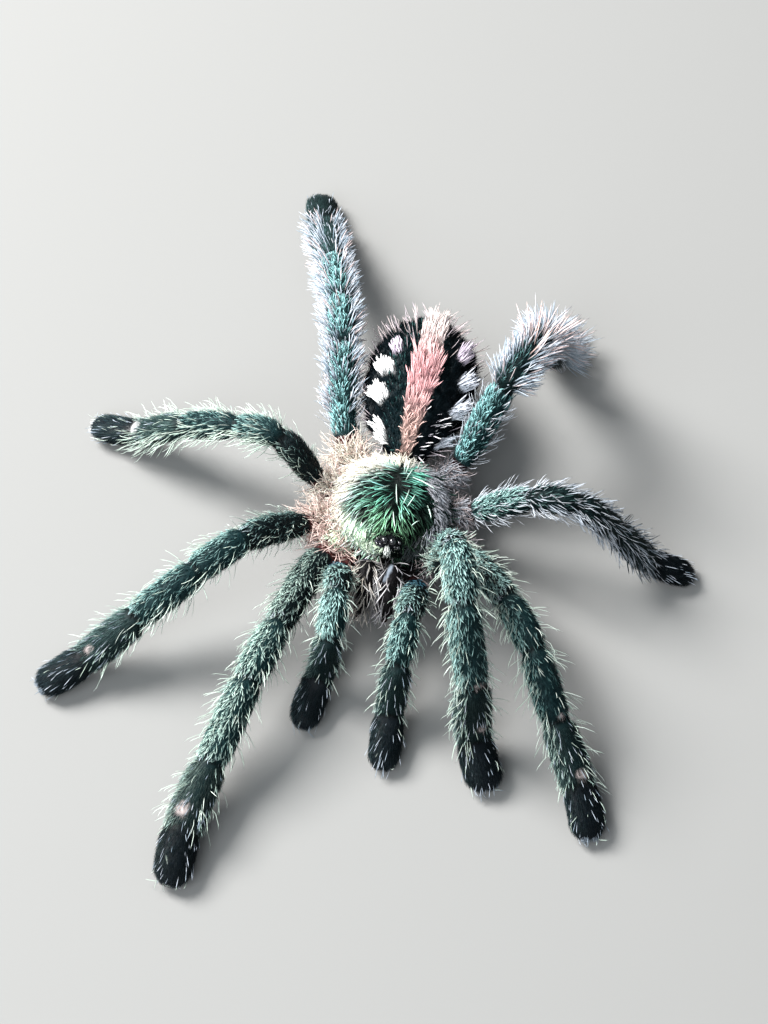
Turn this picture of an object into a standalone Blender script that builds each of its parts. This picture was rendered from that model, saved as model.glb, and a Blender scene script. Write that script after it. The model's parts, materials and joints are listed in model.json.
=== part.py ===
"""Young pink toe tarantula, life size: the solids of a still museum model.

Metres, +Z up, with the floor at Z = 0. The head points to -Y, and the animal's left is +X.
The origin is on the floor, under the middle of the model's box.

The solids reach the tips of the dense coat. Each leg is one smooth centre line, swept with a
section that flattens towards the foot, and parted at its joints by thin cuts.
"""

import math
from collections import namedtuple

import bmesh
import bpy
from mathutils import Matrix, Vector

MM = 0.001
CUT = 0.10 * MM  # width of the thin cuts between neighbours
FRONT_BODY = 8.0 * MM  # from the jaws' hinge to the waist
CARAPACE_LENGTH = 7.0 * MM
CARAPACE_WIDTH = 7.0 * MM  # with its fringe
CARAPACE_MIDDLE = -0.10 * MM  # along Y
CARAPACE_RIM = 4.1 * MM  # height of the rim over the floor
CARAPACE_RISE = 2.3 * MM  # from the rim to the crown
BLUNTNESS = 2.7  # how square the shield's ends are: 2 is an ellipse
JAW_HINGE = -3.85 * MM  # along Y
STERNUM_HEIGHT = 2.7 * MM  # middle of the underside's body over the floor
STERNUM_LENGTH = 6.4 * MM
STERNUM_WIDTH = 5.2 * MM
ABDOMEN_LENGTH = 10.6 * MM
ABDOMEN_WIDTH = 7.0 * MM
ABDOMEN_DEPTH = 6.2 * MM
ABDOMEN_FRONT = 3.55 * MM  # along Y
ABDOMEN_SWING = math.radians(-3)  # the hind body swings a little to the left
ANKLE_HEIGHT = 1.36 * MM  # of the axis over the floor, on a limb of girth 1
TOE_HEIGHT = 0.46 * MM
STEEPEST = 0.97  # sine of the steepest slope that a segment takes
SIDES = {"right": -1, "left": 1}

# Segment lengths, from the body outwards, and the place of the hip, all as shares of the front
# body. girth scales the limb's thickness.
LEG_SEGMENTS = ("femur", "patella", "tibia", "metatarsus", "tarsus")
PALP_SEGMENTS = ("femur", "patella", "tibia", "tarsus")
Limb = namedtuple("Limb", "segments shares hip girth")
LIMBS = {
    "leg_1": Limb(LEG_SEGMENTS, (0.86, 0.52, 0.68, 0.54, 0.46), (0.46, -0.38, 0.41), 1.06),
    "leg_2": Limb(LEG_SEGMENTS, (0.74, 0.46, 0.58, 0.52, 0.45), (0.62, -0.17, 0.40), 1.00),
    "leg_3": Limb(LEG_SEGMENTS, (0.61, 0.40, 0.50, 0.54, 0.43), (0.60, 0.18, 0.40), 0.92),
    "leg_4": Limb(LEG_SEGMENTS, (0.84, 0.43, 0.67, 0.74, 0.43), (0.47, 0.56, 0.42), 0.98),
    "pedipalp": Limb(PALP_SEGMENTS, (0.57, 0.39, 0.44, 0.48), (0.31, -0.53, 0.37), 0.92),
}

# heading: degrees outwards from straight ahead. turn: what the limb adds beyond its patella.
# toe_turn: what its last segment adds. slopes: degrees above the horizon of the first segments.
# The last two segments come down to the ankle and toe heights.
Pose = namedtuple("Pose", "heading turn toe_turn slopes")
POSES = {
    ("leg_1", "right"): Pose(15, -2, -14, (9, -3, -19)),
    ("leg_2", "right"): Pose(43, 5, 0, (31, -9, -28)),
    ("leg_3", "right"): Pose(104, -5, 0, (55, -21, -28)),
    ("leg_4", "right"): Pose(167, -1, 0, (28, 1, -27)),
    ("pedipalp", "right"): Pose(-3, 14, 0, (47, -29)),
    ("leg_1", "left"): Pose(15, 12, 0, (75, -3, -51)),
    ("leg_2", "left"): Pose(35, -1, -12, (27, -3, -35)),
    ("leg_3", "left"): Pose(87, 9, -8, (45, 16, -46)),
    ("leg_4", "left"): Pose(149, 16, 0, (62, 24, -46)),
    ("pedipalp", "left"): Pose(-3, 6, 0, (37, -30)),
}

# Half thickness of each segment at its start, middle and end.
Girth = namedtuple("Girth", "start middle end")
GIRTHS = {
    "coxa": Girth(0.62 * MM, 0.84 * MM, 0.74 * MM),
    "femur": Girth(0.74 * MM, 1.06 * MM, 0.95 * MM),
    "patella": Girth(0.95 * MM, 1.08 * MM, 1.00 * MM),
    "tibia": Girth(1.00 * MM, 1.12 * MM, 1.04 * MM),
    "metatarsus": Girth(1.02 * MM, 1.15 * MM, 1.08 * MM),
    "tarsus": Girth(1.05 * MM, 1.13 * MM, 0.95 * MM),
}
# Width and height of each section, as shares of the girth, and its number of sides.
SECTIONS = {
    "stub": (1.0, 1.0, 8),
    "round": (1.0, 1.0, 10),
    "broad": (1.14, 0.95, 10),
    "pad": (1.22, 0.80, 10),
}
SECTION_OF = {"metatarsus": "broad", "tarsus": "pad"}
BEND = 1.3 * MM  # how far a joint's curve reaches into each of its segments
TOE_ROUNDING = ((0.45, 1.0), (0.78, 0.90), (0.93, 0.62), (1.0, 0.28))

EYE_MOUND = Vector((0.95, 0.66, 0.55)) * MM  # half sizes
EYE_MOUND_TILT = math.radians(28)
# Each eye: across, along, up from the mound's middle, and radius, in millimetres.
EYES = ((0.25, -0.09, 0.44, 0.21), (0.70, -0.40, 0.20, 0.15),
        (0.45, -0.36, 0.32, 0.12), (0.68, -0.08, 0.32, 0.13))

COLOURS = {
    "shield_green": ((0.05, 0.22, 0.14), 0.45, 0.2),
    "under_rose": ((0.42, 0.24, 0.20), 0.70, 0.0),
    "abdomen_black": ((0.02, 0.05, 0.06), 0.60, 0.0),
    "leg_teal": ((0.06, 0.20, 0.20), 0.45, 0.3),
    "foot_slate": ((0.03, 0.07, 0.09), 0.65, 0.0),
    "jaw_dark": ((0.08, 0.05, 0.06), 0.50, 0.0),
    "fang_black": ((0.015, 0.01, 0.01), 0.20, 0.0),
    "eye_black": ((0.005, 0.005, 0.006), 0.08, 0.0),
}


# ---------------------------------------------------------------- scene and materials

def clear_scene():
    for obj in list(bpy.data.objects):
        bpy.data.objects.remove(obj, do_unlink=True)


def new_collection(name):
    collection = bpy.data.collections.new(name)
    bpy.context.scene.collection.children.link(collection)
    return collection


def make_materials():
    made = {}
    for name, (colour, roughness, metallic) in COLOURS.items():
        material = bpy.data.materials.new(name)
        material.use_nodes = True
        shader = material.node_tree.nodes["Principled BSDF"]
        shader.inputs["Base Color"].default_value = (*colour, 1)
        shader.inputs["Roughness"].default_value = roughness
        shader.inputs["Metallic"].default_value = metallic
        made[name] = material
    return made


class Workshop:
    """Where pieces and helpers go, and the materials that they take."""

    def __init__(self):
        clear_scene()
        self.parts = new_collection("pink_toe_tarantula")
        self.helpers = new_collection("helpers")
        self.materials = make_materials()
        self.root = bpy.data.objects.new("tarantula", None)
        self.parts.objects.link(self.root)
        self.sections = {name: self.section(name, *shape) for name, shape in SECTIONS.items()}

    def place(self, obj, material, location=(0, 0, 0)):
        """obj becomes a node of the model."""
        self.parts.objects.link(obj)
        obj.data.materials.clear()
        obj.data.materials.append(self.materials[material])
        obj.location = location
        obj.parent = self.root
        return obj

    def help_with(self, obj):
        """obj only cuts, joins or guides, so a render leaves it out."""
        self.helpers.objects.link(obj)
        obj.hide_render = True
        obj.display_type = "WIRE"
        obj.parent = self.root
        return obj

    def section(self, name, width, height, sides):
        """A closed outline, one unit in radius, that a centre line is swept with."""
        curve = bpy.data.curves.new("section_" + name, "CURVE")
        spline = curve.splines.new("POLY")
        spline.points.add(sides - 1)
        for k, point in enumerate(spline.points):
            turn = 2 * math.pi * (k + 0.5) / sides
            point.co = (width * math.cos(turn), height * math.sin(turn), 0, 1)
        spline.use_cyclic_u = True
        return self.help_with(bpy.data.objects.new("section_" + name, curve))


# ---------------------------------------------------------------- swept limbs

def girth_at(girth, share):
    """A smooth swell through the start, middle and end of a segment."""
    start, middle, end = girth
    bulge = middle - (start + end) / 2
    return start + (end - start) * share + bulge * math.sin(math.pi * share)


def corner(before, joint, after, share):
    """A point on the joint's curve, from 0, in the segment before it, to 1, in the one after."""
    start = joint + (before - joint).normalized() * BEND
    end = joint + (after - joint).normalized() * BEND
    return start.lerp(joint, share).lerp(joint.lerp(end, share), share)


def joint_cut(joints, index):
    """The middle of a joint's curve, and the curve's direction there, outwards."""
    before, joint, after = joints[index - 1 : index + 2]
    outwards = (after - joint).normalized() + (joint - before).normalized()
    return corner(before, joint, after, 0.5), outwards.normalized()


def segment_line(joints, index):
    """A segment's centre line. It runs on past the middle of each joint's curve, for the cuts."""
    here, there = joints[index], joints[index + 1]
    line = [here]
    if index > 0:
        line = [corner(joints[index - 1], here, there, share) for share in (0.25, 0.75, 1.0)]
    if index + 2 < len(joints):
        tail = [corner(here, there, joints[index + 2], share) for share in (0, 0.25, 0.75)]
    else:
        tail = [line[-1].lerp(there, share) for share, _ in TOE_ROUNDING]
    if (tail[0] - line[-1]).length > BEND:
        line.append(line[-1].lerp(tail[0], 0.5))
    return line + tail


def part_at_joints(piece, joints, index):
    """Cuts off what runs on past the joints, which leaves a thin gap to each neighbour."""
    if index > 0:
        place, outwards = joint_cut(joints, index)
        cut(piece, place + outwards * CUT / 2, outwards)
    if index + 2 < len(joints):
        place, outwards = joint_cut(joints, index + 1)
        cut(piece, place - outwards * CUT / 2, -outwards)


def swept(workshop, name, section, line, radii, origin):
    """A solid along line, with a radius at each point and its origin at a joint. The section is
    swept by a curve object, which becomes a mesh with its caps welded on."""
    curve = bpy.data.curves.new(name, "CURVE")
    curve.dimensions = "3D"
    curve.twist_mode = "Z_UP"
    curve.bevel_mode = "OBJECT"
    curve.bevel_object = workshop.sections[section]
    curve.use_fill_caps = True
    spline = curve.splines.new("POLY")
    spline.points.add(len(line) - 1)
    for point, place, radius in zip(spline.points, line, radii):
        point.co = (*(place - origin), 1)
        point.radius = radius
    tube = bpy.data.objects.new(name + "_line", curve)
    workshop.helpers.objects.link(tube)
    graph = bpy.context.evaluated_depsgraph_get()
    mesh = bpy.data.meshes.new_from_object(tube.evaluated_get(graph))
    work = bmesh.new()
    work.from_mesh(mesh)
    bmesh.ops.remove_doubles(work, verts=work.verts, dist=0.001 * MM)
    bmesh.ops.recalc_face_normals(work, faces=work.faces)
    work.to_mesh(mesh)
    work.free()
    solid = bpy.data.objects.new(name, mesh)
    solid.location = origin
    bpy.data.objects.remove(tube, do_unlink=True)
    return solid


def cut(obj, place, normal):
    """Cuts a mesh object by a plane through place, keeps the side that normal points to, and
    closes the cut."""
    work = bmesh.new()
    work.from_mesh(obj.data)
    bmesh.ops.bisect_plane(
        work,
        geom=work.verts[:] + work.edges[:] + work.faces[:],
        dist=0.0005 * MM,
        plane_co=place - obj.location,
        plane_no=normal,
        clear_inner=True,
    )
    rim = [edge for edge in work.edges if edge.is_boundary]
    if rim:
        bmesh.ops.contextual_create(work, geom=rim)
    bmesh.ops.recalc_face_normals(work, faces=work.faces)
    work.to_mesh(obj.data)
    work.free()


def direction(side, heading, slope):
    """A unit vector that many degrees outwards from straight ahead, and above the horizon."""
    heading, slope = math.radians(heading), math.radians(slope)
    level = math.cos(slope)
    return Vector((SIDES[side] * level * math.sin(heading), -level * math.cos(heading), math.sin(slope)))


def hip_of(limb, side):
    across, along, up = limb.hip
    return Vector((SIDES[side] * across, along, up)) * FRONT_BODY


def coxa_root(limb, side):
    """Where the limb's first stub leaves the underside plate."""
    hip = hip_of(limb, side)
    return Vector((hip.x * 0.34, hip.y * 0.42 + 0.15 * MM, STERNUM_HEIGHT))


def limb_joints(limb, side, pose):
    """The limb's centre line at its joints, from the underside plate to the toe."""
    joints = [coxa_root(limb, side), hip_of(limb, side)]
    lengths = [share * FRONT_BODY for share in limb.shares]
    for index, slope in enumerate(pose.slopes):
        heading = pose.heading + (pose.turn if index > 1 else 0)
        joints.append(joints[-1] + direction(side, heading, slope) * lengths[index])
    heading = pose.heading + pose.turn
    ends = ((ANKLE_HEIGHT * limb.girth, heading), (TOE_HEIGHT * limb.girth, heading + pose.toe_turn))
    for length, (height, heading) in zip(lengths[-2:], ends):
        sine = max(-STEEPEST, min(STEEPEST, (height - joints[-1].z) / length))
        slope = math.degrees(math.asin(sine))
        joints.append(joints[-1] + direction(side, heading, slope) * length)
    return joints


def radii_along(line, joints, index, girth, size):
    """The radius at each point of a segment's line, from the cut at its start to its end."""
    runs = [0.0]
    for near, far in zip(line, line[1:]):
        runs.append(runs[-1] + (far - near).length)
    first = (runs[0] + runs[1]) / 2 if index > 0 else runs[0]
    is_toe = index + 2 == len(joints)
    last = runs[-1] if is_toe else (runs[-1] + runs[-2]) / 2
    radii = []
    for run in runs:
        share = min(1.0, max(0.0, (run - first) / (last - first)))
        radii.append(size * girth_at(girth, share))
    if is_toe:
        for step, (_, rounding) in enumerate(reversed(TOE_ROUNDING)):
            radii[-1 - step] *= rounding
    return radii


def make_segment(workshop, name, section, joints, index, girth, size):
    """One length of a limb, from joint to joint, as a solid of its own."""
    line = segment_line(joints, index)
    radii = radii_along(line, joints, index, girth, size)
    piece = swept(workshop, name, section, line, radii, joints[index])
    part_at_joints(piece, joints, index)
    return piece


def make_limb(workshop, limb_name, side):
    """A leg's or palp's segments, each a node of its own. The tarsus gets a flat sole."""
    limb = LIMBS[limb_name]
    joints = limb_joints(limb, side, POSES[limb_name, side])
    for index, segment in enumerate(limb.segments, start=1):
        name = f"{limb_name}_{side}_{segment}"
        section = SECTION_OF.get(segment, "round")
        piece = make_segment(workshop, name, section, joints, index, GIRTHS[segment], limb.girth)
        if segment == "tarsus":
            cut(piece, Vector((0, 0, 0)), Vector((0, 0, 1)))
        is_foot = segment in SECTION_OF
        workshop.place(piece, "foot_slate" if is_foot else "leg_teal", joints[index])


# ---------------------------------------------------------------- the body

def shaped_ball(name, segments, rings, shape):
    """A sphere whose every point is moved to shape(x, y, z), for a unit sphere's x, y and z.
    Its poles lie along Y, so that its rings run round the body."""
    work = bmesh.new()
    turn = Matrix.Rotation(math.radians(90), 4, "X")
    bmesh.ops.create_uvsphere(work, u_segments=segments, v_segments=rings, radius=1, matrix=turn)
    for vert in work.verts:
        vert.co = Vector(shape(*vert.co))
    bmesh.ops.recalc_face_normals(work, faces=work.faces)
    mesh = bpy.data.meshes.new(name)
    work.to_mesh(mesh)
    work.free()
    return bpy.data.objects.new(name, mesh)


def carapace_shape(x, y, z):
    """The shield: broad behind, narrower and blunt at the head, domed, with a dimple behind its
    middle."""
    round_off = math.sqrt(max(1e-6, 1 - y * y))
    blunt = (max(1e-9, 1 - abs(y) ** BLUNTNESS)) ** (1 / BLUNTNESS) / round_off
    across = x * CARAPACE_WIDTH / 2 * blunt * (1 - 0.36 * max(0.0, -y) ** 2 - 0.08 * max(0.0, y))
    head = 0.14 * math.exp(-(((y + 0.50) / 0.35) ** 2) - (x / 0.6) ** 2)
    dimple = 0.16 * math.exp(-(((y - 0.26) / 0.12) ** 2) - (x / 0.16) ** 2)
    rise = max(z, -0.35) * blunt * (1.0 + head - dimple * (z > 0))
    along = CARAPACE_MIDDLE + y * CARAPACE_LENGTH / 2
    return across, along, CARAPACE_RIM + rise * CARAPACE_RISE


def make_carapace(workshop):
    shield = shaped_ball("carapace", 20, 14, carapace_shape)
    cut(shield, Vector((0, 0, CARAPACE_RIM)), Vector((0, 0, 1)))
    workshop.place(shield, "shield_green")
    return shield


def make_underbody(workshop):
    """The underside plate with the ten coxae that spread from it, and the lip in front."""
    def plate_shape(x, y, z):
        taper = 1 - 0.25 * max(0.0, -y) - 0.10 * max(0.0, y)
        across = x * STERNUM_WIDTH / 2 * taper
        along = y * STERNUM_LENGTH / 2 - 0.25 * MM
        top = CARAPACE_RIM - CUT - STERNUM_HEIGHT
        up = min(z / 0.7, 1.0) * top if z > 0 else z * 1.15 * MM
        return across, along, STERNUM_HEIGHT + up

    def lip_shape(x, y, z):
        return x * 0.8 * MM, y * 0.9 * MM - 3.1 * MM, STERNUM_HEIGHT - 0.15 * MM + z * 0.7 * MM

    plate = shaped_ball("underbody", 12, 8, plate_shape)
    additions = [shaped_ball("lip", 8, 6, lip_shape)]
    for limb_name, limb in LIMBS.items():
        for side in SIDES:
            joints = limb_joints(limb, side, POSES[limb_name, side])
            name = f"coxa_{limb_name}_{side}"
            girth = GIRTHS["coxa"]
            additions.append(make_segment(workshop, name, "stub", joints, 0, girth, limb.girth))
    for addition in additions:
        workshop.help_with(addition)
        union = plate.modifiers.new(addition.name, "BOOLEAN")
        union.operation = "UNION"
        union.object = addition
    workshop.place(plate, "under_rose")


def abdomen_shape(x, y, z):
    """An egg, fullest behind its middle, a little flattened above and drawn in at the waist."""
    fullness = 1 + 0.16 * y - 0.06 * y * y
    height = ABDOMEN_DEPTH / 2 * (0.94 if z > 0 else 1.0)
    return x * ABDOMEN_WIDTH / 2 * fullness, y * ABDOMEN_LENGTH / 2, z * height * fullness


def make_abdomen(workshop):
    abdomen = shaped_ball("abdomen", 18, 14, abdomen_shape)
    abdomen.rotation_euler = (math.radians(3), 0, ABDOMEN_SWING)
    place = Vector((0.25 * MM, ABDOMEN_FRONT + ABDOMEN_LENGTH / 2, 4.65 * MM))
    workshop.place(abdomen, "abdomen_black", place)
    return place


def make_waist(workshop):
    start = Vector((0, ABDOMEN_FRONT - 0.45 * MM, 3.45 * MM))
    end = start + Vector((0.0, 0.62 * MM, 0.20 * MM))
    line = [start, start.lerp(end, 0.5), end]
    radii = [0.42 * MM, 0.50 * MM, 0.42 * MM]
    waist = swept(workshop, "waist", "round", line, radii, start)
    workshop.place(waist, "abdomen_black", start)


def make_spinnerets(workshop, abdomen_place):
    """Two fingers under the tip of the hind body."""
    rear = abdomen_place + Vector((0.25 * MM, ABDOMEN_LENGTH / 2 - 0.25 * MM, -1.35 * MM))
    for side, sign in SIDES.items():
        start = rear + Vector((sign * 0.55 * MM, 0, 0))
        line = [
            start,
            start + Vector((sign * 0.12, 0.75, 0.02)) * MM,
            start + Vector((sign * 0.32, 1.45, 0.18)) * MM,
            start + Vector((sign * 0.42, 1.80, 0.32)) * MM,
        ]
        radii = [0.40 * MM, 0.38 * MM, 0.30 * MM, 0.16 * MM]
        finger = swept(workshop, f"spinneret_{side}", "round", line, radii, start)
        workshop.place(finger, "abdomen_black", start)


def make_chelicerae(workshop):
    """The two stout jaws under the front of the shield, each with its folded fang."""
    for side, sign in SIDES.items():
        start = Vector((sign * 0.79 * MM, JAW_HINGE, 4.05 * MM))
        bow = ((0.0, 0.0, 0.60), (-0.50, 0.10, 0.73), (-1.35, -0.10, 0.75),
               (-2.20, -0.60, 0.73), (-2.80, -1.15, 0.61), (-3.02, -1.50, 0.34))
        line = [start + Vector((0, along, up)) * MM for along, up, _ in bow]
        radii = [radius * MM for *_, radius in bow]
        jaw = swept(workshop, f"chelicera_{side}", "round", line, radii, start)
        workshop.place(jaw, "jaw_dark", start)

        hinge = start + Vector((sign * 0.02, -2.90, -2.02)) * MM
        fang_line = []
        fang_radii = []
        for step in range(7):
            share = step / 6
            turn = math.radians(-20 + 105 * share)
            reach = Vector((0, 1 - math.cos(turn), -math.sin(turn))) * 1.5 * MM
            back = Vector((-sign * 0.10 * MM * share, 1.15 * MM * share, 0.40 * MM * share))
            fang_line.append(hinge + back + reach * 0.55)
            fang_radii.append((0.30 - 0.19 * share) * MM)
        fang = swept(workshop, f"fang_{side}", "round", fang_line, fang_radii, hinge)
        workshop.place(fang, "fang_black", hinge)


def make_eye_mound(workshop, shield):
    """A low mound, set in a socket at the front of the shield, with eight beads for eyes."""
    def mound_shape(x, y, z):
        return x * EYE_MOUND.x, y * EYE_MOUND.y, z * EYE_MOUND.z

    def socket_shape(x, y, z):
        return Vector(mound_shape(x, y, z)) + Vector((x, y, z)) * CUT

    middle = Vector((0.20 * MM, -3.06 * MM, 5.62 * MM))
    socket = workshop.help_with(shaped_ball("eye_socket", 16, 10, socket_shape))
    socket.location = middle
    mound = workshop.place(shaped_ball("eye_mound", 16, 10, mound_shape), "eye_black", middle)
    for piece in (socket, mound):
        piece.rotation_euler.x = EYE_MOUND_TILT
    take = shield.modifiers.new("socket", "BOOLEAN")
    take.operation = "DIFFERENCE"
    take.object = socket

    tilt = Matrix.Rotation(EYE_MOUND_TILT, 3, "X")
    for number, (across, along, up, radius) in enumerate(EYES):
        for side, sign in SIDES.items():
            work = bmesh.new()
            bmesh.ops.create_icosphere(work, subdivisions=1, radius=radius * MM)
            mesh = bpy.data.meshes.new("eye")
            work.to_mesh(mesh)
            work.free()
            bead = workshop.help_with(bpy.data.objects.new(f"eye_{number}_{side}", mesh))
            bead.location = middle + tilt @ (Vector((sign * across, along, up)) * MM)
            bead.rotation_euler = (0.3, 0.2 * sign, 0.1 * number)
            add = mound.modifiers.new(bead.name, "BOOLEAN")
            add.operation = "UNION"
            add.object = bead


def centre_on_floor(workshop):
    """Moves the model so that the middle of its box stands over the origin."""
    bpy.context.view_layer.update()
    graph = bpy.context.evaluated_depsgraph_get()
    corners = []
    for obj in workshop.parts.objects:
        if obj.type == "EMPTY":
            continue
        shown = obj.evaluated_get(graph)
        mesh = shown.to_mesh()
        corners += [shown.matrix_world @ vert.co for vert in mesh.vertices]
        shown.to_mesh_clear()
    middle = [(min(c[axis] for c in corners) + max(c[axis] for c in corners)) / 2 for axis in (0, 1)]
    workshop.root.location = (-middle[0], -middle[1], 0)


def main():
    workshop = Workshop()
    shield = make_carapace(workshop)
    make_eye_mound(workshop, shield)
    make_underbody(workshop)
    make_chelicerae(workshop)
    make_waist(workshop)
    make_spinnerets(workshop, make_abdomen(workshop))
    for limb_name in LIMBS:
        for side in SIDES:
            make_limb(workshop, limb_name, side)
    centre_on_floor(workshop)


main()
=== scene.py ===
# %% [markdown]
# # A young pink toe tarantula, life size
#
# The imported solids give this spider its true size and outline, out to the tips of its dense coat.
# Here they get their looks: one soft skin under everything, a coat of many thousand small solid
# hairs that grow from it, wet black eyes and polished fangs.
#
# Everything is measured from the frame, so a change of pose in the solids carries over by itself.
# The file works in millimetres and turns its meshes into metres at the end, because lengths such
# as 0.45 are easier to read and to check than 0.00045.

# %% Load the frame
import json
import math

import bmesh
import bpy
import numpy as np
from mathutils import Matrix, Vector
from mathutils.bvhtree import BVHTree

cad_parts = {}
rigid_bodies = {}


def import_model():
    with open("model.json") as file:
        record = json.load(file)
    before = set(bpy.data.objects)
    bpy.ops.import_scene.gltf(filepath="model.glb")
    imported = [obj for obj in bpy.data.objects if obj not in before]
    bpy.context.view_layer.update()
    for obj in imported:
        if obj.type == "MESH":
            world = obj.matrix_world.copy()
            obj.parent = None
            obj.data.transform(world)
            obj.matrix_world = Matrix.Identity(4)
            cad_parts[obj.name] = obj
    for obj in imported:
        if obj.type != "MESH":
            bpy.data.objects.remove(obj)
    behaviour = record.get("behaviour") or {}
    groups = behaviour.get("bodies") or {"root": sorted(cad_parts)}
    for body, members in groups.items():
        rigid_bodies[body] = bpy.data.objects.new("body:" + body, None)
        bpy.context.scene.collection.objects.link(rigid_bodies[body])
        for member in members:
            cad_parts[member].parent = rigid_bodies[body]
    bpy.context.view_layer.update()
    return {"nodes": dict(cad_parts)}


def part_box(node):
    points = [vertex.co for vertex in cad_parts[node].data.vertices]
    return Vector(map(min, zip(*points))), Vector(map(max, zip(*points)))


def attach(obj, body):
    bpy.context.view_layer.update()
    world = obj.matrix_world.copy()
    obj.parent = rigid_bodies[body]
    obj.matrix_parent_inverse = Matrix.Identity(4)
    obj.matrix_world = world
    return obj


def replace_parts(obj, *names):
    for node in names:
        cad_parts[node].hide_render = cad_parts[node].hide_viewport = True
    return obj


for obj in list(bpy.data.objects):
    bpy.data.objects.remove(obj)
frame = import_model()

MM = 0.001
chance = np.random.default_rng(20)
print("nodes:", len(frame["nodes"]))

# %% [markdown]
# ## Colours
#
# Colours are easiest to choose as a screen shows them, from 0 to 255. A shader wants linear light,
# so each one is converted once, here. The names are those of the animal's own colours: velvet
# black-blues underneath, teals that shine like metal on the legs, and cream, salmon and silver.

# %% A palette in linear light
def shade(red, green, blue):
    """A screen colour, 0 to 255, as linear light."""
    share = np.array([red, green, blue]) / 255
    return np.where(share <= 0.04045, share / 12.92, ((share + 0.055) / 1.055) ** 2.4)


BLUE_BLACK = shade(7, 15, 20)
DEEP_TEAL = shade(14, 40, 44)
TEAL = shade(80, 124, 122)
MINT = shade(220, 246, 234)
CYAN = shade(180, 238, 240)
PALE_MINT = shade(218, 240, 224)
PETROL = shade(20, 76, 100)
SLATE = shade(72, 106, 118)
NAVY = shade(34, 56, 70)
PALE_SLATE = shade(132, 150, 164)
SILVER = shade(208, 216, 228)
WHITE = shade(252, 252, 252)
CREAM = shade(252, 246, 230)
LIME_CREAM = shade(230, 248, 222)
PALE_PINK = shade(236, 204, 196)
TOE_PINK = shade(198, 184, 182)
MEMBRANE = shade(72, 36, 36)
ROSE_BROWN = shade(96, 58, 56)
LAVENDER = shade(166, 164, 170)
TEAL_GREEN = shade(136, 220, 196)
SPRING_GREEN = shade(170, 236, 180)
BOTTLE_GREEN = shade(5, 24, 22)
SALMON = shade(244, 198, 198)
DUSTY_ROSE = shade(232, 170, 176)
COPPER = shade(234, 198, 188)
LILAC = shade(214, 202, 216)
# the brushes' white, painted grey as shade on the animal's left
SHADED_WHITE = shade(216, 220, 230)
JAW_BROWN = shade(12, 10, 12)
JAW_HAIR = shade(226, 222, 226)
CLYPEUS = shade(112, 106, 126)
# a painted reflection on the glossy bald edge of one jaw
PAINTED_JAW_REFLECTION = shade(104, 112, 122)
print("palette ready")

# %% [markdown]
# ## Finding each limb's line
#
# Hair on a spider's leg lies towards the toe, so every leg needs a line down its middle. The
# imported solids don't say where that is, but they are tubes parted by thin cuts. The middle of each
# cut is a joint, and the middle of each tube's outline is a point of the line between two joints.

# %% Read the solids
SEGMENTS = {
    "leg": ("femur", "patella", "tibia", "metatarsus", "tarsus"),
    "pedipalp": ("femur", "patella", "tibia", "tarsus"),
}
SIDES = ("left", "right")
LIMBS = [f"leg_{number}_{side}" for number in (1, 2, 3, 4) for side in SIDES]
LIMBS += [f"pedipalp_{side}" for side in SIDES]


def segments_of(limb):
    return SEGMENTS[limb.split("_")[0]]


def rows_of(elements, field, kind=np.float64):
    """A field with three numbers for each of a mesh's elements, as an array of rows."""
    flat = np.empty(len(elements) * 3, kind)
    elements.foreach_get(field, flat)
    return flat.reshape(-1, 3)


def corners_of(node):
    """A solid's corners, in millimetres."""
    return np.unique(rows_of(frame["nodes"][node].data.vertices, "co").round(7), axis=0) / MM


def triangles_of(mesh):
    """A mesh's triangles as rows of three vertex numbers."""
    mesh.calc_loop_triangles()
    return rows_of(mesh.loop_triangles, "vertices", np.int32)


def middle_of(node):
    low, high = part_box(node)
    return np.array((low + high) / 2) / MM


def unit(vectors):
    return vectors / np.maximum(np.linalg.norm(vectors, axis=-1, keepdims=True), 1e-9)


BODY = middle_of("carapace") + (0, 0.10, 0)  # between the coxae: the body's own origin
BODY[2] = 0
print("body origin:", BODY.round(2))

# %% Joints and centre lines
CUT_REACH = 0.32  # how near two solids' corners are across a cut
STEP = 0.10  # between the stations of a centre line
OUTLINE_POINTS = 3000  # sampled on each solid
TOE_TIP = 0.3  # the length of the toe whose middle height ends the line
SLICE = 0.25  # half the thickness of the slice that a station measures
SLICE_REACH = 1.9  # how far out from the line it looks
THIN = 0.3  # a station's half size where its slice is empty


def joint_between(node, other):
    """The middle of the cut between two solids."""
    here, there = corners_of(node), corners_of(other)
    apart = np.linalg.norm(here[:, None] - there[None], axis=2)
    near = np.concatenate([here[apart.min(1) < CUT_REACH], there[apart.min(0) < CUT_REACH]])
    return near.mean(0)


def areas_of(corners):
    """The area of each triangle, from its three corners."""
    edges = corners[:, 1:] - corners[:, :1]
    return np.linalg.norm(np.cross(edges[:, 0], edges[:, 1]), axis=1) / 2


def spread_over(corners, count):
    """Random places on triangles: each place's triangle, picked by area, and its corners' weights."""
    area = areas_of(corners)
    pick = chance.choice(len(corners), count, p=area / area.sum())
    share = chance.random((count, 2))
    share = np.where(share.sum(1, keepdims=True) > 1, 1 - share, share)
    return pick, np.stack([1 - share.sum(1), share[:, 0], share[:, 1]], 1)[..., None]


def outline_samples(node):
    """Points spread evenly over a solid's faces."""
    mesh = frame["nodes"][node].data
    corners = rows_of(mesh.vertices, "co")[triangles_of(mesh)] / MM
    pick, weights = spread_over(corners, OUTLINE_POINTS)
    return (corners[pick] * weights).sum(1)


def smooth_run(values, width):
    """A moving average along a line, its ends held."""
    padded = np.pad(values, ((width, width),) + ((0, 0),) * (values.ndim - 1), mode="edge")
    total = sum(padded[k:len(values) + k] for k in range(2 * width + 1))
    return total / (2 * width + 1)


def level_side(along):
    """Sideways on, and square to, each direction, and level with the floor."""
    return unit(np.cross(along, (0, 0, 1)))


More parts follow.
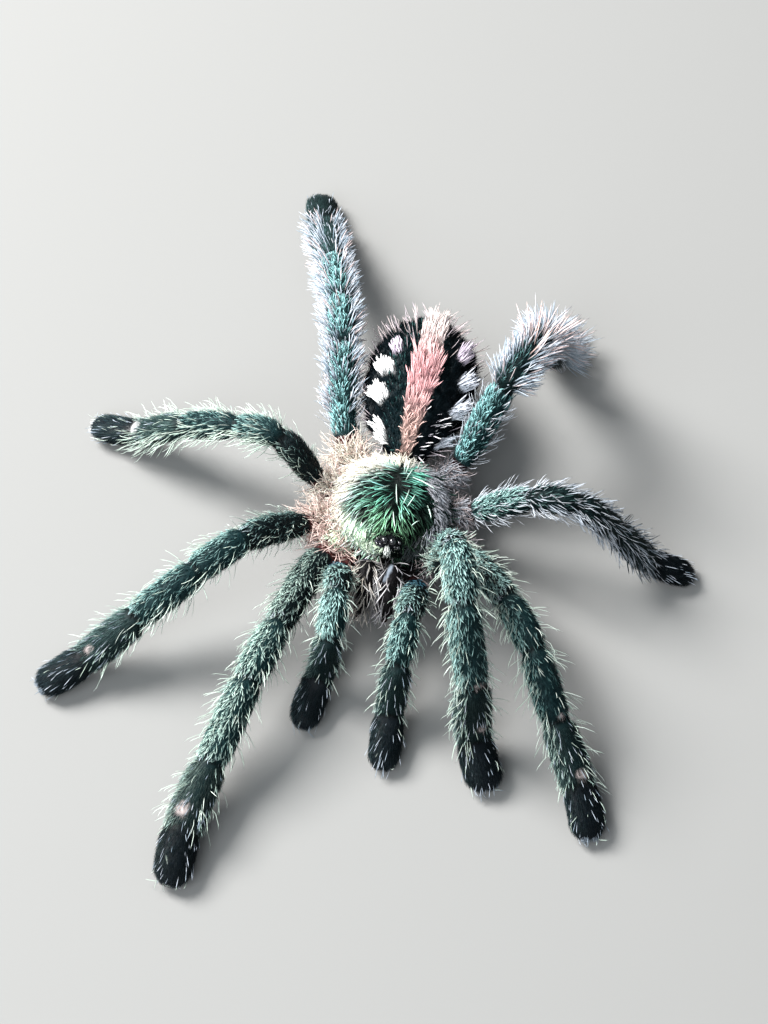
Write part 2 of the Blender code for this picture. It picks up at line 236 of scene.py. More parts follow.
class Line:
    """A limb's stations from hip to toe: place, direction, sideways, up and half sizes. run is
    how far each is down the line, segment its segment's number and share how far along that."""

    def __init__(self, limb):
        nodes = [f"{limb}_{segment}" for segment in segments_of(limb)]
        joints = [joint_between(a, b) for a, b in zip(["underbody"] + nodes[:-1], nodes)]
        toe_corners = corners_of(nodes[-1])
        ahead = unit(middle_of(nodes[-1]) - joints[-1])
        reach = (toe_corners - joints[-1]) @ ahead
        joints.append(joints[-1] + ahead * reach.max())
        joints[-1][2] = toe_corners[reach > reach.max() - TOE_TIP][:, 2].mean()
        self.joints = np.array(joints)
        skin = [outline_samples(node) for node in nodes]

        knots = [self.joints[0]]
        for number, points in enumerate(skin):
            start, end = self.joints[number], self.joints[number + 1]
            chord = unit(end - start)
            share = (points - start) @ chord / np.linalg.norm(end - start)
            for middle in (0.3, 0.5, 0.7):
                piece = points[abs(share - middle) < 0.07]
                knots.append((piece.max(0) + piece.min(0)) / 2 if len(piece) > 8 else
                             start + (end - start) * middle)
            knots.append(end)
        knots = np.array(knots)
        knot_run = np.r_[0, np.cumsum(np.linalg.norm(np.diff(knots, axis=0), axis=1))]
        self.length = knot_run[-1]
        self.run = np.arange(0, self.length, STEP)
        place = np.stack([np.interp(self.run, knot_run, knots[:, k]) for k in range(3)], 1)
        self.place = smooth_run(place, 4)
        self.along = unit(smooth_run(np.gradient(self.place, axis=0), 2))
        self.side = level_side(self.along)
        self.up = np.cross(self.side, self.along)
        self.joint_run = knot_run[::4]
        self.segment = np.searchsorted(self.joint_run, self.run, "right") - 1
        self.segment = self.segment.clip(0, len(nodes) - 1)
        starts = self.joint_run[self.segment]
        self.share = (self.run - starts) / (self.joint_run[self.segment + 1] - starts)

        points = np.concatenate(skin)
        wide, high = [], []
        for place, along, side, up in zip(self.place, self.along, self.side, self.up):
            offset = points - place
            near = (abs(offset @ along) < SLICE) & (np.linalg.norm(offset, axis=1) < SLICE_REACH)
            near = offset[near]
            wide.append(np.percentile(abs(near @ side), 97) if len(near) > 5 else THIN)
            high.append(np.percentile(near @ up, 97) if len(near) > 5 else THIN)
        self.wide = smooth_run(np.array(wide), 3)
        self.high = smooth_run(np.array(high), 3)


LINES = {limb: Line(limb) for limb in LIMBS}
for limb, line in LINES.items():
    print(f"{limb}: {line.length:.1f} mm long, {2 * line.wide.mean():.2f} mm across")

# %% [markdown]
# ## One skin
#
# Under the fur a tarantula is one continuous surface: firm tubes with soft folds at the joints. It
# could be sculpted by hand, or each solid could simply be kept, but then every cut would show. The
# way here is the one for clay: make each part a little thinner than its solid, by the depth of its
# coat, let the parts run into each other, and remesh the heap into one surface. The limbs are swept
# along their lines, thinner at each joint, and the body's parts are their solids drawn inwards.

# %% Sweep the limbs' flesh
COAT_DEPTH = {"femur": 0.14, "patella": 0.13, "tibia": 0.14, "metatarsus": 0.20, "tarsus": 0.22}
FOLD_DEPTH = 0.16  # how much thinner a limb is at a joint
FOLD_SHARES = {5: (1, 1, 1, 0.8, 0.35), 4: (1, 1, 1, 0.5)}  # of that, for limbs with so many joints
FOLD_LENGTH = 0.34
HEAD_START = 0.9  # how far a limb runs back into its coxa
TOE = 1.25  # the length of its rounded end
TOE_LIFT = 0.06  # keeps the last segment's skin clear of the floor
THINNEST = 0.2
RING = 18  # corners round a limb


def tube(places, sides, ups, wide, high):
    """A closed tube round stations, as (corners, faces)."""
    turn = 2 * np.pi * np.arange(RING) / RING
    ring = (sides[:, None] * (wide[:, None] * np.cos(turn))[..., None]
            + ups[:, None] * (high[:, None] * np.sin(turn))[..., None])
    corners = (places[:, None] + ring).reshape(-1, 3)
    faces = []
    for row in range(len(places) - 1):
        for k in range(RING):
            a, b = row * RING + k, row * RING + (k + 1) % RING
            faces.append((a, b, b + RING, a + RING))
    faces.append(tuple(reversed(range(RING))))
    faces.append(tuple(range(len(corners) - RING, len(corners))))
    return corners, faces


def limb_flesh(limb):
    """The limb without its coat, from inside its coxa to the toe."""
    line = LINES[limb]
    depth = np.array([COAT_DEPTH[segment] for segment in segments_of(limb)])[line.segment]
    depth = smooth_run(depth, 3)
    joints = line.joint_run[:-1]
    for run, fold in zip(joints, FOLD_SHARES[len(joints)]):
        depth = depth + fold * FOLD_DEPTH * np.exp(-(((line.run - run) / FOLD_LENGTH) ** 2))
    toe = np.sqrt(np.clip(1 - ((line.run - line.length + TOE) / TOE).clip(0) ** 2, 0.02, 1))
    wide = (line.wide - depth).clip(THINNEST) * toe
    high = (line.high - depth * 0.9).clip(THINNEST) * toe
    lift = TOE_LIFT * (line.segment == line.segment.max())[:, None] * np.array([0, 0, 1])
    back = line.place[0] - line.along[0] * HEAD_START
    places = np.vstack([back, line.place + lift])[:-2]
    rows = [np.r_[row[:1], row][:-2] for row in (line.side, line.up, wide, high)]
    return tube(places, *rows)


def new_mesh(name, corners, faces):
    mesh = bpy.data.meshes.new(name)
    mesh.from_pydata([tuple(c) for c in corners], [], [tuple(f) for f in faces])
    mesh.update()
    return mesh


def mesh_from(shape, name):
    """A finished bmesh as a mesh."""
    mesh = bpy.data.meshes.new(name)
    shape.to_mesh(mesh)
    shape.free()
    return mesh


def show(name, mesh):
    obj = bpy.data.objects.new(name, mesh)
    bpy.context.scene.collection.objects.link(obj)
    return obj


def apply_modifiers(obj):
    """Gives the object the mesh that its modifiers make."""
    graph = bpy.context.evaluated_depsgraph_get()
    made = bpy.data.meshes.new_from_object(obj.evaluated_get(graph))
    obj.modifiers.clear()
    obj.data = made
    return obj


def remeshed(obj, voxel, smoothing):
    """The object as one even surface, then smoothed."""
    remesh = obj.modifiers.new("one surface", "REMESH")
    remesh.mode = "VOXEL"
    remesh.voxel_size = voxel
    soften = obj.modifiers.new("soften", "SMOOTH")
    soften.factor = 0.5
    soften.iterations = smoothing
    return apply_modifiers(obj)


flesh = [show(f"flesh_{limb}", new_mesh(f"flesh_{limb}", *limb_flesh(limb))) for limb in LIMBS]
print("limbs swept:", len(flesh))

# %% Draw the body's solids inwards
BODY_DEPTH = {
    "carapace": 0.20, "underbody": 0.08, "abdomen": 0.34, "waist": -0.12,
    "chelicera_left": 0.16, "chelicera_right": 0.16,
    "spinneret_left": 0.06, "spinneret_right": 0.06,
}
BODY_VOXEL = 0.16
BODY_SMOOTHING = 5
MOUND_MIDDLE = BODY + (0.20, -3.06, 5.62)
MOUND_SIZE = np.array((0.92, 0.64, 0.44))  # half sizes, in its own tilted axes
MOUND_TILT = Matrix.Rotation(math.radians(28), 3, "X")


def drawn_in(node, depth):
    """A solid's even, smoothed copy, its surface moved in by depth."""
    mesh = frame["nodes"][node].data.copy()
    mesh.transform(Matrix.Scale(1 / MM, 4))
    obj = remeshed(show(f"flesh_{node}", mesh), BODY_VOXEL, BODY_SMOOTHING)
    for vert in obj.data.vertices:
        vert.co -= vert.normal * depth
    return obj


def eye_mound_flesh():
    """The low mound that the eyes sit on, without them."""
    ball = bmesh.new()
    bmesh.ops.create_uvsphere(ball, u_segments=24, v_segments=16, radius=1)
    middle = Vector(MOUND_MIDDLE - (0, 0, 0.03))
    for vert in ball.verts:
        vert.co = middle + MOUND_TILT @ Vector(np.array(vert.co) * MOUND_SIZE)
    return show("flesh_mound", mesh_from(ball, "flesh_mound"))


flesh += [drawn_in(node, depth) for node, depth in BODY_DEPTH.items()]
flesh.append(eye_mound_flesh())
print("body parts drawn in:", len(BODY_DEPTH))

# %% Join the flesh into one skin
SKIN_VOXEL = 0.15
SKIN_SMOOTHING = 3


def joined(objects, name):
    heap = bmesh.new()
    for obj in objects:
        heap.from_mesh(obj.data)
        bpy.data.objects.remove(obj)
    return show(name, mesh_from(heap, name))


skin = remeshed(joined(flesh, "skin"), SKIN_VOXEL, SKIN_SMOOTHING)
skin.name = skin.data.name = "skin"
print("skin faces:", len(skin.data.polygons))

# %% [markdown]
# ## A map of the skin
#
# Colour, hair length and hair direction all depend on where on the animal a point is. So each point
# of the skin first learns which solid it lies in, and from that its place in plain terms: how far
# along a segment, how far round it, or how far back on the hind body. Every later step asks this
# map, so that the skin and the coat carry the same markings.

# %% Read the skin as arrays
skin_place = rows_of(skin.data.vertices, "co")
skin_normal = rows_of(skin.data.vertices, "normal")
skin_triangle = triangles_of(skin.data)
NODE_NAMES = sorted(frame["nodes"])


def tree_of_solids():
    """A search tree over all solids, and each of its faces' solid."""
    corners, faces, owner = [], [], []
    for number, node in enumerate(NODE_NAMES):
        mesh = frame["nodes"][node].data
        first = len(corners)
        corners += [tuple(v.co / MM) for v in mesh.vertices]
        triangles = triangles_of(mesh) + first
        faces += triangles.tolist()
        owner += [number] * len(triangles)
    return BVHTree.FromPolygons(corners, faces), owner


def owners(places):
    """The number of the solid nearest to each place."""
    tree, owner = tree_of_solids()
    return np.array([owner[tree.find_nearest(place)[2]] for place in places])


skin_owner = owners(skin_place)
print("skin points placed:", len(skin_owner))

# %% Places on a limb
BATCH = 4000  # points that are measured against all stations at once


class Spots:
    """Points on the skin, with their normals, and whatever else is learned about each."""

    def __init__(self, place, normal):
        self.place, self.normal = place, unit(normal)

    def __len__(self):
        return len(self.place)

    def keep(self, wanted):
        kept = Spots(self.place[wanted], self.normal[wanted])
        for name, values in vars(self).items():
            if name not in ("place", "normal"):
                setattr(kept, name, values[wanted])
        return kept


def nearest_station(line, places):
    found = np.empty(len(places), int)
    for first in range(0, len(places), BATCH):
        batch = places[first:first + BATCH]
        found[first:first + BATCH] = ((batch[:, None] - line.place[None]) ** 2).sum(2).argmin(1)
    return found


def place_on_limb(spots, limb):
    """Adds the nearest station's values, the distance to a joint, and the way round: turn as an
    angle, top from -1 below to 1 above, and edge from -1 to 1 across."""
    line = LINES[limb]
    at = nearest_station(line, spots.place)
    for name in ("run", "segment", "share", "along", "side"):
        setattr(spots, name, getattr(line, name)[at])
    offset = spots.place - line.place[at]
    spots.turn = np.arctan2((offset * line.up[at]).sum(1), (offset * line.side[at]).sum(1))
    spots.top = np.sin(spots.turn)
    spots.edge = np.cos(spots.turn)
    spots.from_joint = abs(spots.run[:, None] - line.joint_run[:-1]).min(1)
    spots.map = np.stack([spots.run / line.length, (spots.turn / (2 * np.pi)) % 1], 1)
    return spots


# %% Places on the hind body and on the shield
HIND_SWING = math.radians(-3)
HIND_TILT = math.radians(3)
HIND_LENGTH = 10.6
HIND_MIDDLE = middle_of("abdomen")
HIND_AXES = np.array(Matrix.Rotation(HIND_SWING, 3, "Z") @ Matrix.Rotation(HIND_TILT, 3, "X"))
FOVEA = BODY + (0.12, 0.92, 6.1)  # the dimple that the shield's hair spreads from


def place_on_hind_body(spots):
    """Adds back, from -1 at the waist to 1 at the tip, across in millimetres, and the angle
    from the top, which is positive on the animal's left."""
    local = (spots.place - HIND_MIDDLE) @ HIND_AXES
    spots.back = local[:, 1] / (HIND_LENGTH / 2)
    spots.across = local[:, 0]
    spots.angle = np.degrees(np.arctan2(local[:, 0], local[:, 2]))
    spots.map = np.stack([(spots.back + 1.1) / 2.2, (spots.angle / 360) % 1], 1)
    return spots


def place_on_front_body(spots):
    """Adds x, y and z from the body's origin, the way out from the shield's dimple, and two shares
    that are 0 in the middle and about 1 at the shield's edge: reach from the dimple, and rim."""
    local = spots.place - BODY
    spots.x, spots.y, spots.z = local.T
    spots.out = spots.place[:, :2] - FOVEA[:2]
    spots.reach = np.linalg.norm(spots.out / (3.3, 3.7), axis=1)
    spots.rim = np.hypot(spots.x / 3.45, (spots.y + 0.6) / 3.0)
    spots.map = np.stack([(spots.x + 5.5) / 11, (spots.y + 5.5) / 11], 1)
    below = spots.normal[:, 2] < 0
    spots.map[:, 0] = np.where(below, 0.5 + spots.map[:, 0] / 2, spots.map[:, 0] / 2)
    return spots


print("hind body's middle:", HIND_MIDDLE.round(2))

# %% [markdown]
# ## Markings
#
# The markings are functions of the map. A leg is blue-black with teal from the femur to the tibia,
# darker at each joint, and some legs have a bare pale mark on top near the foot. The hind body is
# black velvet with a salmon stripe and white brushes down both sides. The shield is green in its
# middle and cream at its rim.
#
# The teal is not a dye, and its brightness is painted light: each limb is painted bright on the side that
# faces the key lamp, and its other side is painted dark, as shade. A texture could be painted with all of
# this, but functions are shorter, and they give the skin and each hair the same colour without any
# unwrapping.

# %% Helpers for soft edges
def ramp(values, start, end):
    """0 before start, 1 after end, and a smooth change between them."""
    share = np.clip((values - start) / (end - start), 0, 1)
    return share * share * (3 - 2 * share)


def mix(first, second, share):
    """Two colours, or two sets of them, mixed by a share for each point."""
    return first + (second - first) * np.asarray(share)[..., None]


def bump(values, middle, width):
    return np.exp(-(((values - middle) / width) ** 2))


# Painted light: the way towards the key lamp, and how much of its painted light the shaded side keeps.
PAINTED_LIGHT_WAY = unit(np.array((-0.88, 0.15, 0.35)))  # the way that the brightest side of each limb faces
UNLIT = 0.18  # how much of the shine is left on the other side


def lit_side(spots, wider=0.0):
    """How much painted light a point gets, by how much its skin faces the lamp's side, from UNLIT to 1.
    The painted light reaches further round a limb as wider grows."""
    return UNLIT + (1 - UNLIT) * ramp(spots.normal @ PAINTED_LIGHT_WAY + wider, 0.0, 0.7)


print("the shine faces", PAINTED_LIGHT_WAY.round(2))

# %% Pale marks on top of the feet
# Each mark: which joint from the toe, where the toe's end is 1, how far before it and to its side,
# and half sizes along and across, in millimetres.
MARKS = {
    "leg_1_right": ((2, 1.00, 0.36, 0.44, 0.42),),
    "leg_1_left": ((2, 1.10, -0.36, 0.24, 0.38), (3, 0.15, -0.25, 0.16, 0.50)),
    "leg_2_right": ((2, 0.55, 0.0, 0.26, 0.30),),
    "leg_2_left": ((2, 0.60, -0.22, 0.30, 0.44), (3, 0.20, -0.15, 0.16, 0.24)),
    "leg_3_right": ((2, 0.32, 0.0, 0.34, 0.62),),
}
WHITE_FOOT = "leg_3_right"


def mark_share(spots, limb):
    """How much a point lies in a pale mark, from 0 to 1."""
    line, share = LINES[limb], np.zeros(len(spots))
    for joint, before, beside, long, wide in MARKS.get(limb, ()):
        at = np.searchsorted(line.run, line.joint_run[-joint] - before) - 1
        offset = spots.place - line.place[at] - line.side[at] * beside
        apart = np.hypot(offset @ line.along[at] / long, offset @ line.side[at] / wide)
        share = np.maximum(share, (1 - ramp(apart, 0.7, 1.25)) * (offset @ line.up[at] > 0.2))
    return share


def mark_colour(limb):
    return WHITE * 0.9 if limb == WHITE_FOOT else TOE_PINK


print("pale marks:", sum(len(marks) for marks in MARKS.values()))

# %% Markings of the limbs
# Each limb's pale glints, which are painted sheen: how strong on the femur, the patella and the tibia, and
# their colour.
SEA = mix(MINT, CYAN, 0.5)
GLINTS = {
    "leg_1_right": (0.95, 1.05, 1.12, MINT), "leg_1_left": (1.4, 1.15, 0.85, SEA),
    "leg_2_right": (0.70, 0.80, 0.60, SEA), "leg_2_left": (0.90, 0.38, 0.22, SEA),
    "leg_3_right": (0.22, 0.62, 0.26, SEA), "leg_3_left": (0.95, 0.12, 0.05, SEA),
    "leg_4_right": (1.7, 1.5, 1.2, CYAN), "leg_4_left": (1.2, 0.30, 0.20, CYAN),
    "pedipalp_right": (1.3, 1.6, 0.35, SEA), "pedipalp_left": (0.90, 0.90, 0.15, SEA),
}
DARK_ON_TOP = ("leg_2_right", "leg_2_left", "leg_3_right", "leg_3_left")
# Each segment's dark and middle colour, and how bright its glints are.
SEGMENT_COLOURS = {
    "femur": (BLUE_BLACK, TEAL * 0.6, 0.85),
    "patella": (DEEP_TEAL, TEAL, 1.0),
    "tibia": (DEEP_TEAL, TEAL, 1.0),
    "metatarsus": (DEEP_TEAL * 0.5, TEAL * 0.65, 0.8),
    "tarsus": (BLUE_BLACK * 0.8, NAVY, 0.32),
}
WORN_AS = {  # limbs whose segments wear the colours of others
    "pedipalp_left": ("femur", "patella", "metatarsus", "tarsus"),
    "pedipalp_right": ("femur", "patella", "metatarsus", "tarsus"),
    "leg_3_left": ("patella", "metatarsus", "metatarsus", "metatarsus", "tarsus"),
    "leg_4_left": ("patella", "metatarsus", "metatarsus", "metatarsus", "tarsus"),
    "leg_4_right": ("patella", "patella", "tibia", "metatarsus", "tarsus"),
}


def foot_of(limb):
    """The segments that carry the dark brush."""
    return ("tibia", "tarsus") if limb.startswith("pedipalp") else ("metatarsus", "tarsus")


FOOT_GLINT = 0.6


def glint_strength(spots, limb):
    """How strong the glints are at each point of a limb."""
    table = GLINTS[limb][:3] + (FOOT_GLINT,) * (len(segments_of(limb)) - 3)
    strength = np.array(table)[spots.segment]
    if limb in DARK_ON_TOP:
        strength = strength * (1 - 0.6 * bump(spots.turn, np.pi / 2, 0.5) * (spots.segment > 0))
    return strength


def leg_marking(spots, limb):
    """Dark, middle and bright colour at each point of a limb."""
    names = WORN_AS.get(limb, segments_of(limb))
    dark, middle, glint = (np.array([SEGMENT_COLOURS[name][k] for name in names])[spots.segment]
                           for k in range(3))
    bright = glint[:, None] * GLINTS[limb][3]
    if limb.startswith("pedipalp"):
        at_hip = 1 - ramp(spots.run, 1.0, 2.3)
        middle, bright = mix(middle, PETROL, at_hip), mix(bright, PETROL * 1.6, 0.8 * at_hip)
    if limb == "leg_4_right":
        middle = mix(middle, TEAL * 0.6, spots.segment == 4)
    dim = (1 - 0.80 * bump(spots.from_joint, 0, 0.18))[:, None]
    return dark * dim, middle * dim, bright * dim


print("limbs with markings:", len(GLINTS))

# %% Markings of the body
def shield_marking(spots):
    """The green of the shield: teal-green in the middle, spring green ahead, cream at the rim, with
    painted light: mint and the cream rim on the animal's right, which faces the lamp, and painted shade
    over its left half, darkest at the front.
    """
    green = mix(TEAL_GREEN, SPRING_GREEN, ramp(-spots.y, -0.4, 2.2) * 0.9)
    # Painted light: mint and the cream rim only on the animal's right, which faces the lamp.
    green = mix(green, MINT, ramp(spots.rim, 0.20, 0.70) * ramp(-spots.x, -0.3, 1.2) * 0.6)
    rim = ramp(spots.rim, 0.62, 0.86) * ramp(-spots.x, -0.4, 0.7)
    pale = mix(CREAM, MINT, ramp(-spots.y, 0.6, 2.0))
    # Painted shade: the half away from the lamp, and its front by the face, are painted dark.
    lit = 1 - 0.95 * ramp(spots.x, 0.40, 1.30)
    face = ramp(-spots.y, 2.3, 2.8) * ramp(spots.x, -0.2, 0.2)
    return mix(mix(green, pale, rim) * lit[:, None], BOTTLE_GREEN, face * 0.95)


STRIPE_MIDDLE = 0.12  # across the hind body, in millimetres
STRIPE_BACK = (-1.0, -0.75, -0.40, 0.0, 0.35, 0.70, 1.0)
STRIPE_HALF_WIDTH = (0.25, 0.44, 0.68, 0.86, 0.74, 0.50, 0.32)


def stripe_share(spots):
    """1 inside the stripe on top of the hind body, 0 outside."""
    half = np.interp(spots.back, STRIPE_BACK, STRIPE_HALF_WIDTH)
    inside = 1 - ramp(abs(spots.across - STRIPE_MIDDLE), half * 0.85, half * 1.15)
    return inside * (abs(spots.angle) < 60)


def stripe_marking(back):
    """Copper in front, rose in the middle, cream at the tip."""
    colour = mix(COPPER, SALMON, ramp(back, -0.75, -0.30))
    colour = mix(colour, DUSTY_ROSE, bump(back, -0.15, 0.28) * 0.6)
    return mix(colour, mix(WHITE, PALE_PINK, 0.5), ramp(back, 0.0, 0.6))


# Each brush: how far back, degrees from the top, reach along and round in millimetres, colour. The brushes
# on the animal's left are white as well, and their grey is painted shade.
BRUSHES = (
    (-0.76, -62, 0.60, 0.56, WHITE), (-0.36, -52, 0.55, 0.62, WHITE),
    (-0.02, -47, 0.52, 0.62, WHITE), (0.26, -38, 0.50, 0.36, LILAC),
    (-0.68, 80, 0.50, 0.42, SHADED_WHITE), (-0.32, 62, 0.48, 0.50, SHADED_WHITE),
    (0.04, 56, 0.46, 0.52, SHADED_WHITE), (0.36, 46, 0.46, 0.46, LILAC),
)
HIND_RADIUS = 3.1


def brush_distance(spots, brush):
    """0 in a brush's middle and 1 at its outline."""
    back, angle, long, round_, _ = brush
    along = (spots.back - back) * HIND_LENGTH / 2 / long
    around = np.radians(spots.angle - angle) * HIND_RADIUS / round_
    return np.hypot(along, around)


def hind_marking(spots):
    """Black velvet with a painted teal sheen near the stripe, mostly on the side that faces the lamp, and
    a base for the stripe and brushes.
    """
    colour = mix(BLUE_BLACK * 0.8, DEEP_TEAL * 0.7, bump(spots.angle, -12, 40) * 0.5)
    colour = mix(colour, stripe_marking(spots.back) * 0.5, stripe_share(spots))
    for brush in BRUSHES:
        colour = mix(colour, brush[4] * 0.5, 1 - ramp(brush_distance(spots, brush), 0.7, 1.1))
    return colour


def underbody_marking(spots):
    """Maroon membranes, rose-brown skin under the wool, painted darker as shade towards the animal's left,
    and a dark strip behind the jaws.
    """
    # Painted shade: darker away from the lamp, towards the animal's left.
    warm = 1 - ramp(spots.x, -1.5, 2.5) * 0.55
    colour = mix(ROSE_BROWN, MEMBRANE, bump(abs(spots.x), 3.6, 1.2)) * warm[:, None]
    face = ramp(-spots.y, 2.2, 2.7) * (1 - ramp(abs(spots.x - 0.4), 2.0, 2.5))
    return mix(colour, JAW_BROWN, face)


print("brushes on the hind body:", len(BRUSHES))

# %% [markdown]
# ## Painting the skin
#
# The skin's colour is stored on its points, from the same marking functions, and a material reads it. Fine
# wrinkles and pores come from noise in the material, as bump, because they are far smaller than the mesh's
# faces. Two places on the jaws are bald, so only the skin's colour shows there, and on one of them that
# colour is a painted reflection.

# %% Colour each point of the skin
FLESH_NODES = [node for node in NODE_NAMES if not node.startswith(("eye_mound", "fang"))]
owner_name = np.array(NODE_NAMES)[skin_owner]
PAINTED_REFLECTION_LINE = np.array(((0.68, -4.25), (0.42, -5.20)))  # x and y of the bald edge of one jaw, which carries a painted reflection
BARELY = 0.003  # how much of the shield's green its dark skin and under coat show


def clypeus_share(spots):
    """1 on the bald purple-grey face over one jaw, 0 elsewhere."""
    apart = np.hypot((spots.x + 0.80) / 0.62, (spots.y + 3.66) / 0.42)
    return (1 - ramp(apart, 0.7, 1.1)) * (spots.z > 3.6)


def painted_reflection_share(spots):
    """1 on the painted reflection along the bald edge of one jaw, 0 elsewhere."""
    start, end = PAINTED_REFLECTION_LINE
    length = np.linalg.norm(end - start)
    along = (end - start) / length
    offset = np.stack([spots.x, spots.y], 1) - start
    run = (offset @ along).clip(0, length)
    apart = np.linalg.norm(offset - run[:, None] * along, axis=1)
    return (1 - ramp(apart, 0.07, 0.17)) * (spots.z > 3.4)


def limb_skin(spots, limb):
    """Dark, with the bare ring at the hip and the pale marks."""
    dark, middle, _ = leg_marking(spots, limb)
    hip = 1 - ramp(spots.run, 0.50, 0.75)
    ring = MEMBRANE * (0.3 if limb.endswith("left") else 1.0)
    colour = mix(mix(dark * 0.6, middle, 0.04), ring, hip)
    return mix(colour, mark_colour(limb), 0.6 * mark_share(spots, limb))


def shield_skin(spots):
    return mix(BOTTLE_GREEN * 0.2, shield_marking(spots), BARELY)


def skin_spots(mine):
    return Spots(skin_place[mine], skin_normal[mine])


def skin_colours():
    colour = np.tile(BLUE_BLACK, (len(skin_place), 1))
    for limb in LIMBS:
        mine = np.char.startswith(owner_name, limb + "_")
        colour[mine] = limb_skin(place_on_limb(skin_spots(mine), limb), limb)
    for node, marking, locate in (("abdomen", hind_marking, place_on_hind_body),
                                  ("underbody", underbody_marking, place_on_front_body),
                                  ("carapace", shield_skin, place_on_front_body)):
        mine = owner_name == node
        colour[mine] = marking(locate(skin_spots(mine)))
    mound = owner_name == "eye_mound"
    jaws = np.char.startswith(owner_name, "chelicera") | mound
    colour[jaws] = JAW_BROWN
    colour[mound] = BLUE_BLACK * 0.3
    everywhere = place_on_front_body(Spots(skin_place, skin_normal))
    colour = mix(colour, CLYPEUS, clypeus_share(everywhere))
    # A painted reflection on the glossy bald edge of one jaw.
    return mix(colour, PAINTED_JAW_REFLECTION, painted_reflection_share(everywhere) * jaws)


def paint_points(mesh, colours):
    """Stores a colour on each point of a mesh."""
    layer = mesh.color_attributes.new("marking", "FLOAT_COLOR", "POINT")
    rgba = np.ones((len(colours), 4), np.float32)
    rgba[:, :3] = np.clip(colours, 0, 1)
    layer.data.foreach_set("color", rgba.ravel())


paint_points(skin.data, skin_colours())
print("skin painted")

# %% Materials for skin and hair
def new_material(name):
    material = bpy.data.materials.new(name)
    material.use_nodes = True
    return material, material.node_tree.nodes, material.node_tree.links


def painted_material(name, roughness, specular, grain, bump_height, bump_scale):
    """A material that takes the stored colour, varies it by a share of grain, and roughens the
    surface with bumps of a height in millimetres."""
    material, nodes, links = new_material(name)
    shader = nodes["Principled BSDF"]
    shader.inputs["Roughness"].default_value = roughness
    shader.inputs["Specular IOR Level"].default_value = specular
    paint = nodes.new("ShaderNodeVertexColor")
    paint.layer_name = "marking"
    where = nodes.new("ShaderNodeTexCoord")
    noise = nodes.new("ShaderNodeTexNoise")
    noise.inputs["Scale"].default_value = bump_scale
    noise.inputs["Detail"].default_value = 3
    links.new(where.outputs["Object"], noise.inputs["Vector"])
    vary = nodes.new("ShaderNodeMapRange")
    vary.inputs["To Min"].default_value = 1 - grain
    vary.inputs["To Max"].default_value = 1 + grain
    links.new(noise.outputs["Fac"], vary.inputs["Value"])
    tint = nodes.new("ShaderNodeVectorMath")
    tint.operation = "SCALE"
    links.new(paint.outputs["Color"], tint.inputs[0])
    links.new(vary.outputs["Result"], tint.inputs["Scale"])
    links.new(tint.outputs["Vector"], shader.inputs["Base Color"])
    if bump_height:
        raise_it = nodes.new("ShaderNodeBump")
        raise_it.inputs["Distance"].default_value = bump_height * MM
        raise_it.inputs["Strength"].default_value = 1.0
        links.new(noise.outputs["Fac"], raise_it.inputs["Height"])
        links.new(raise_it.outputs["Normal"], shader.inputs["Normal"])
    return material


PORES = 4200  # the scale of the noise on the skin
STRANDS = 2500  # and of the one that varies the hairs
SKIN_FINISH = painted_material("skin_leathery", 0.55, 0.10, 0.35, 0.05, PORES)
GLINT_FINISH = painted_material("coat_teal_glint", 0.42, 0.08, 0.20, 0, STRANDS)
VELVET_FINISH = painted_material("coat_black_velvet", 0.75, 0.03, 0.20, 0, STRANDS)
WOOL_FINISH = painted_material("coat_wool", 0.55, 0.16, 0.15, 0, STRANDS)
print("materials ready")


def finish_piece(obj, material):
    """In metres, smooth, with its finish, riding on the body."""
    obj.data.transform(Matrix.Scale(MM, 4))
    obj.data.materials.clear()
    obj.data.materials.append(material)
    obj.data.shade_smooth()
    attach(obj, "root")
    return obj


finish_piece(skin, SKIN_FINISH)
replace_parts(skin, *FLESH_NODES)

# %% [markdown]
# ## Hairs as small solids
#
# Blender can grow hair as particles or curves, but those don't survive an export. Here each hair is
# a thin three-sided spike of its own: a ring at the root, one or two more rings where it bends, and
# a point. One function makes thousands at once from arrays: where they stand, the way they lie, how
# long, how thick, how far they lift off the skin, and a colour for the root and the tip.
#
# No two hairs are alike, so most of these are drawn at random from a range. All of it comes from
# one seeded generator, in a fixed order, so that the coat grows the same way every time.
#
# Each hair also gets a tiny patch of the OFBake map, at its root's place on the unwrapped skin, so
# that a baked texture keeps one colour run for each hair.

# %% Chance
def between(low, high, spots):
    """A random number for each spot."""
    return chance.uniform(low, high, len(spots))


def happens(probability):
    """Whether each thing happens, by its own probability."""
    return chance.random(len(probability)) < probability


def for_each(value, spots):
    """A number for each spot. A pair is a range to draw from."""
    if isinstance(value, tuple):
        return between(*value, spots)
    return np.broadcast_to(np.asarray(value, float), (len(spots),))


def shapes(spots, *ranges):
    """Lengths, widths and lifts, drawn before whatever else the hairs need."""
    return [between(low, high, spots) for low, high in ranges]


# %% The hair maker
PATCH = 0.003  # the size of a hair's patch on the map
BLUNT = 0.78  # how far along a hair its last ring is
RING_TURNS = np.radians([90, 210, 330])
RING_WIDTHS = {1: (1.0,), 2: (0.8, 1.0), 3: (0.8, 1.0, 0.75)}  # from the root, by the number of rings
LOWEST = 0.01  # hair that meets the floor lies on it


def hair_faces(bends):
    """The triangles of one hair, as rows of its own corner numbers."""
    faces = [(0, 2, 1)]
    for ring in range(bends - 1):
        for k in range(3):
            a, b = ring * 3 + k, ring * 3 + (k + 1) % 3
            faces += [(a, b, b + 3), (a, b + 3, a + 3)]
    last = (bends - 1) * 3
    faces += [(last + k, last + (k + 1) % 3, bends * 3) for k in range(3)]
    return np.array(faces)


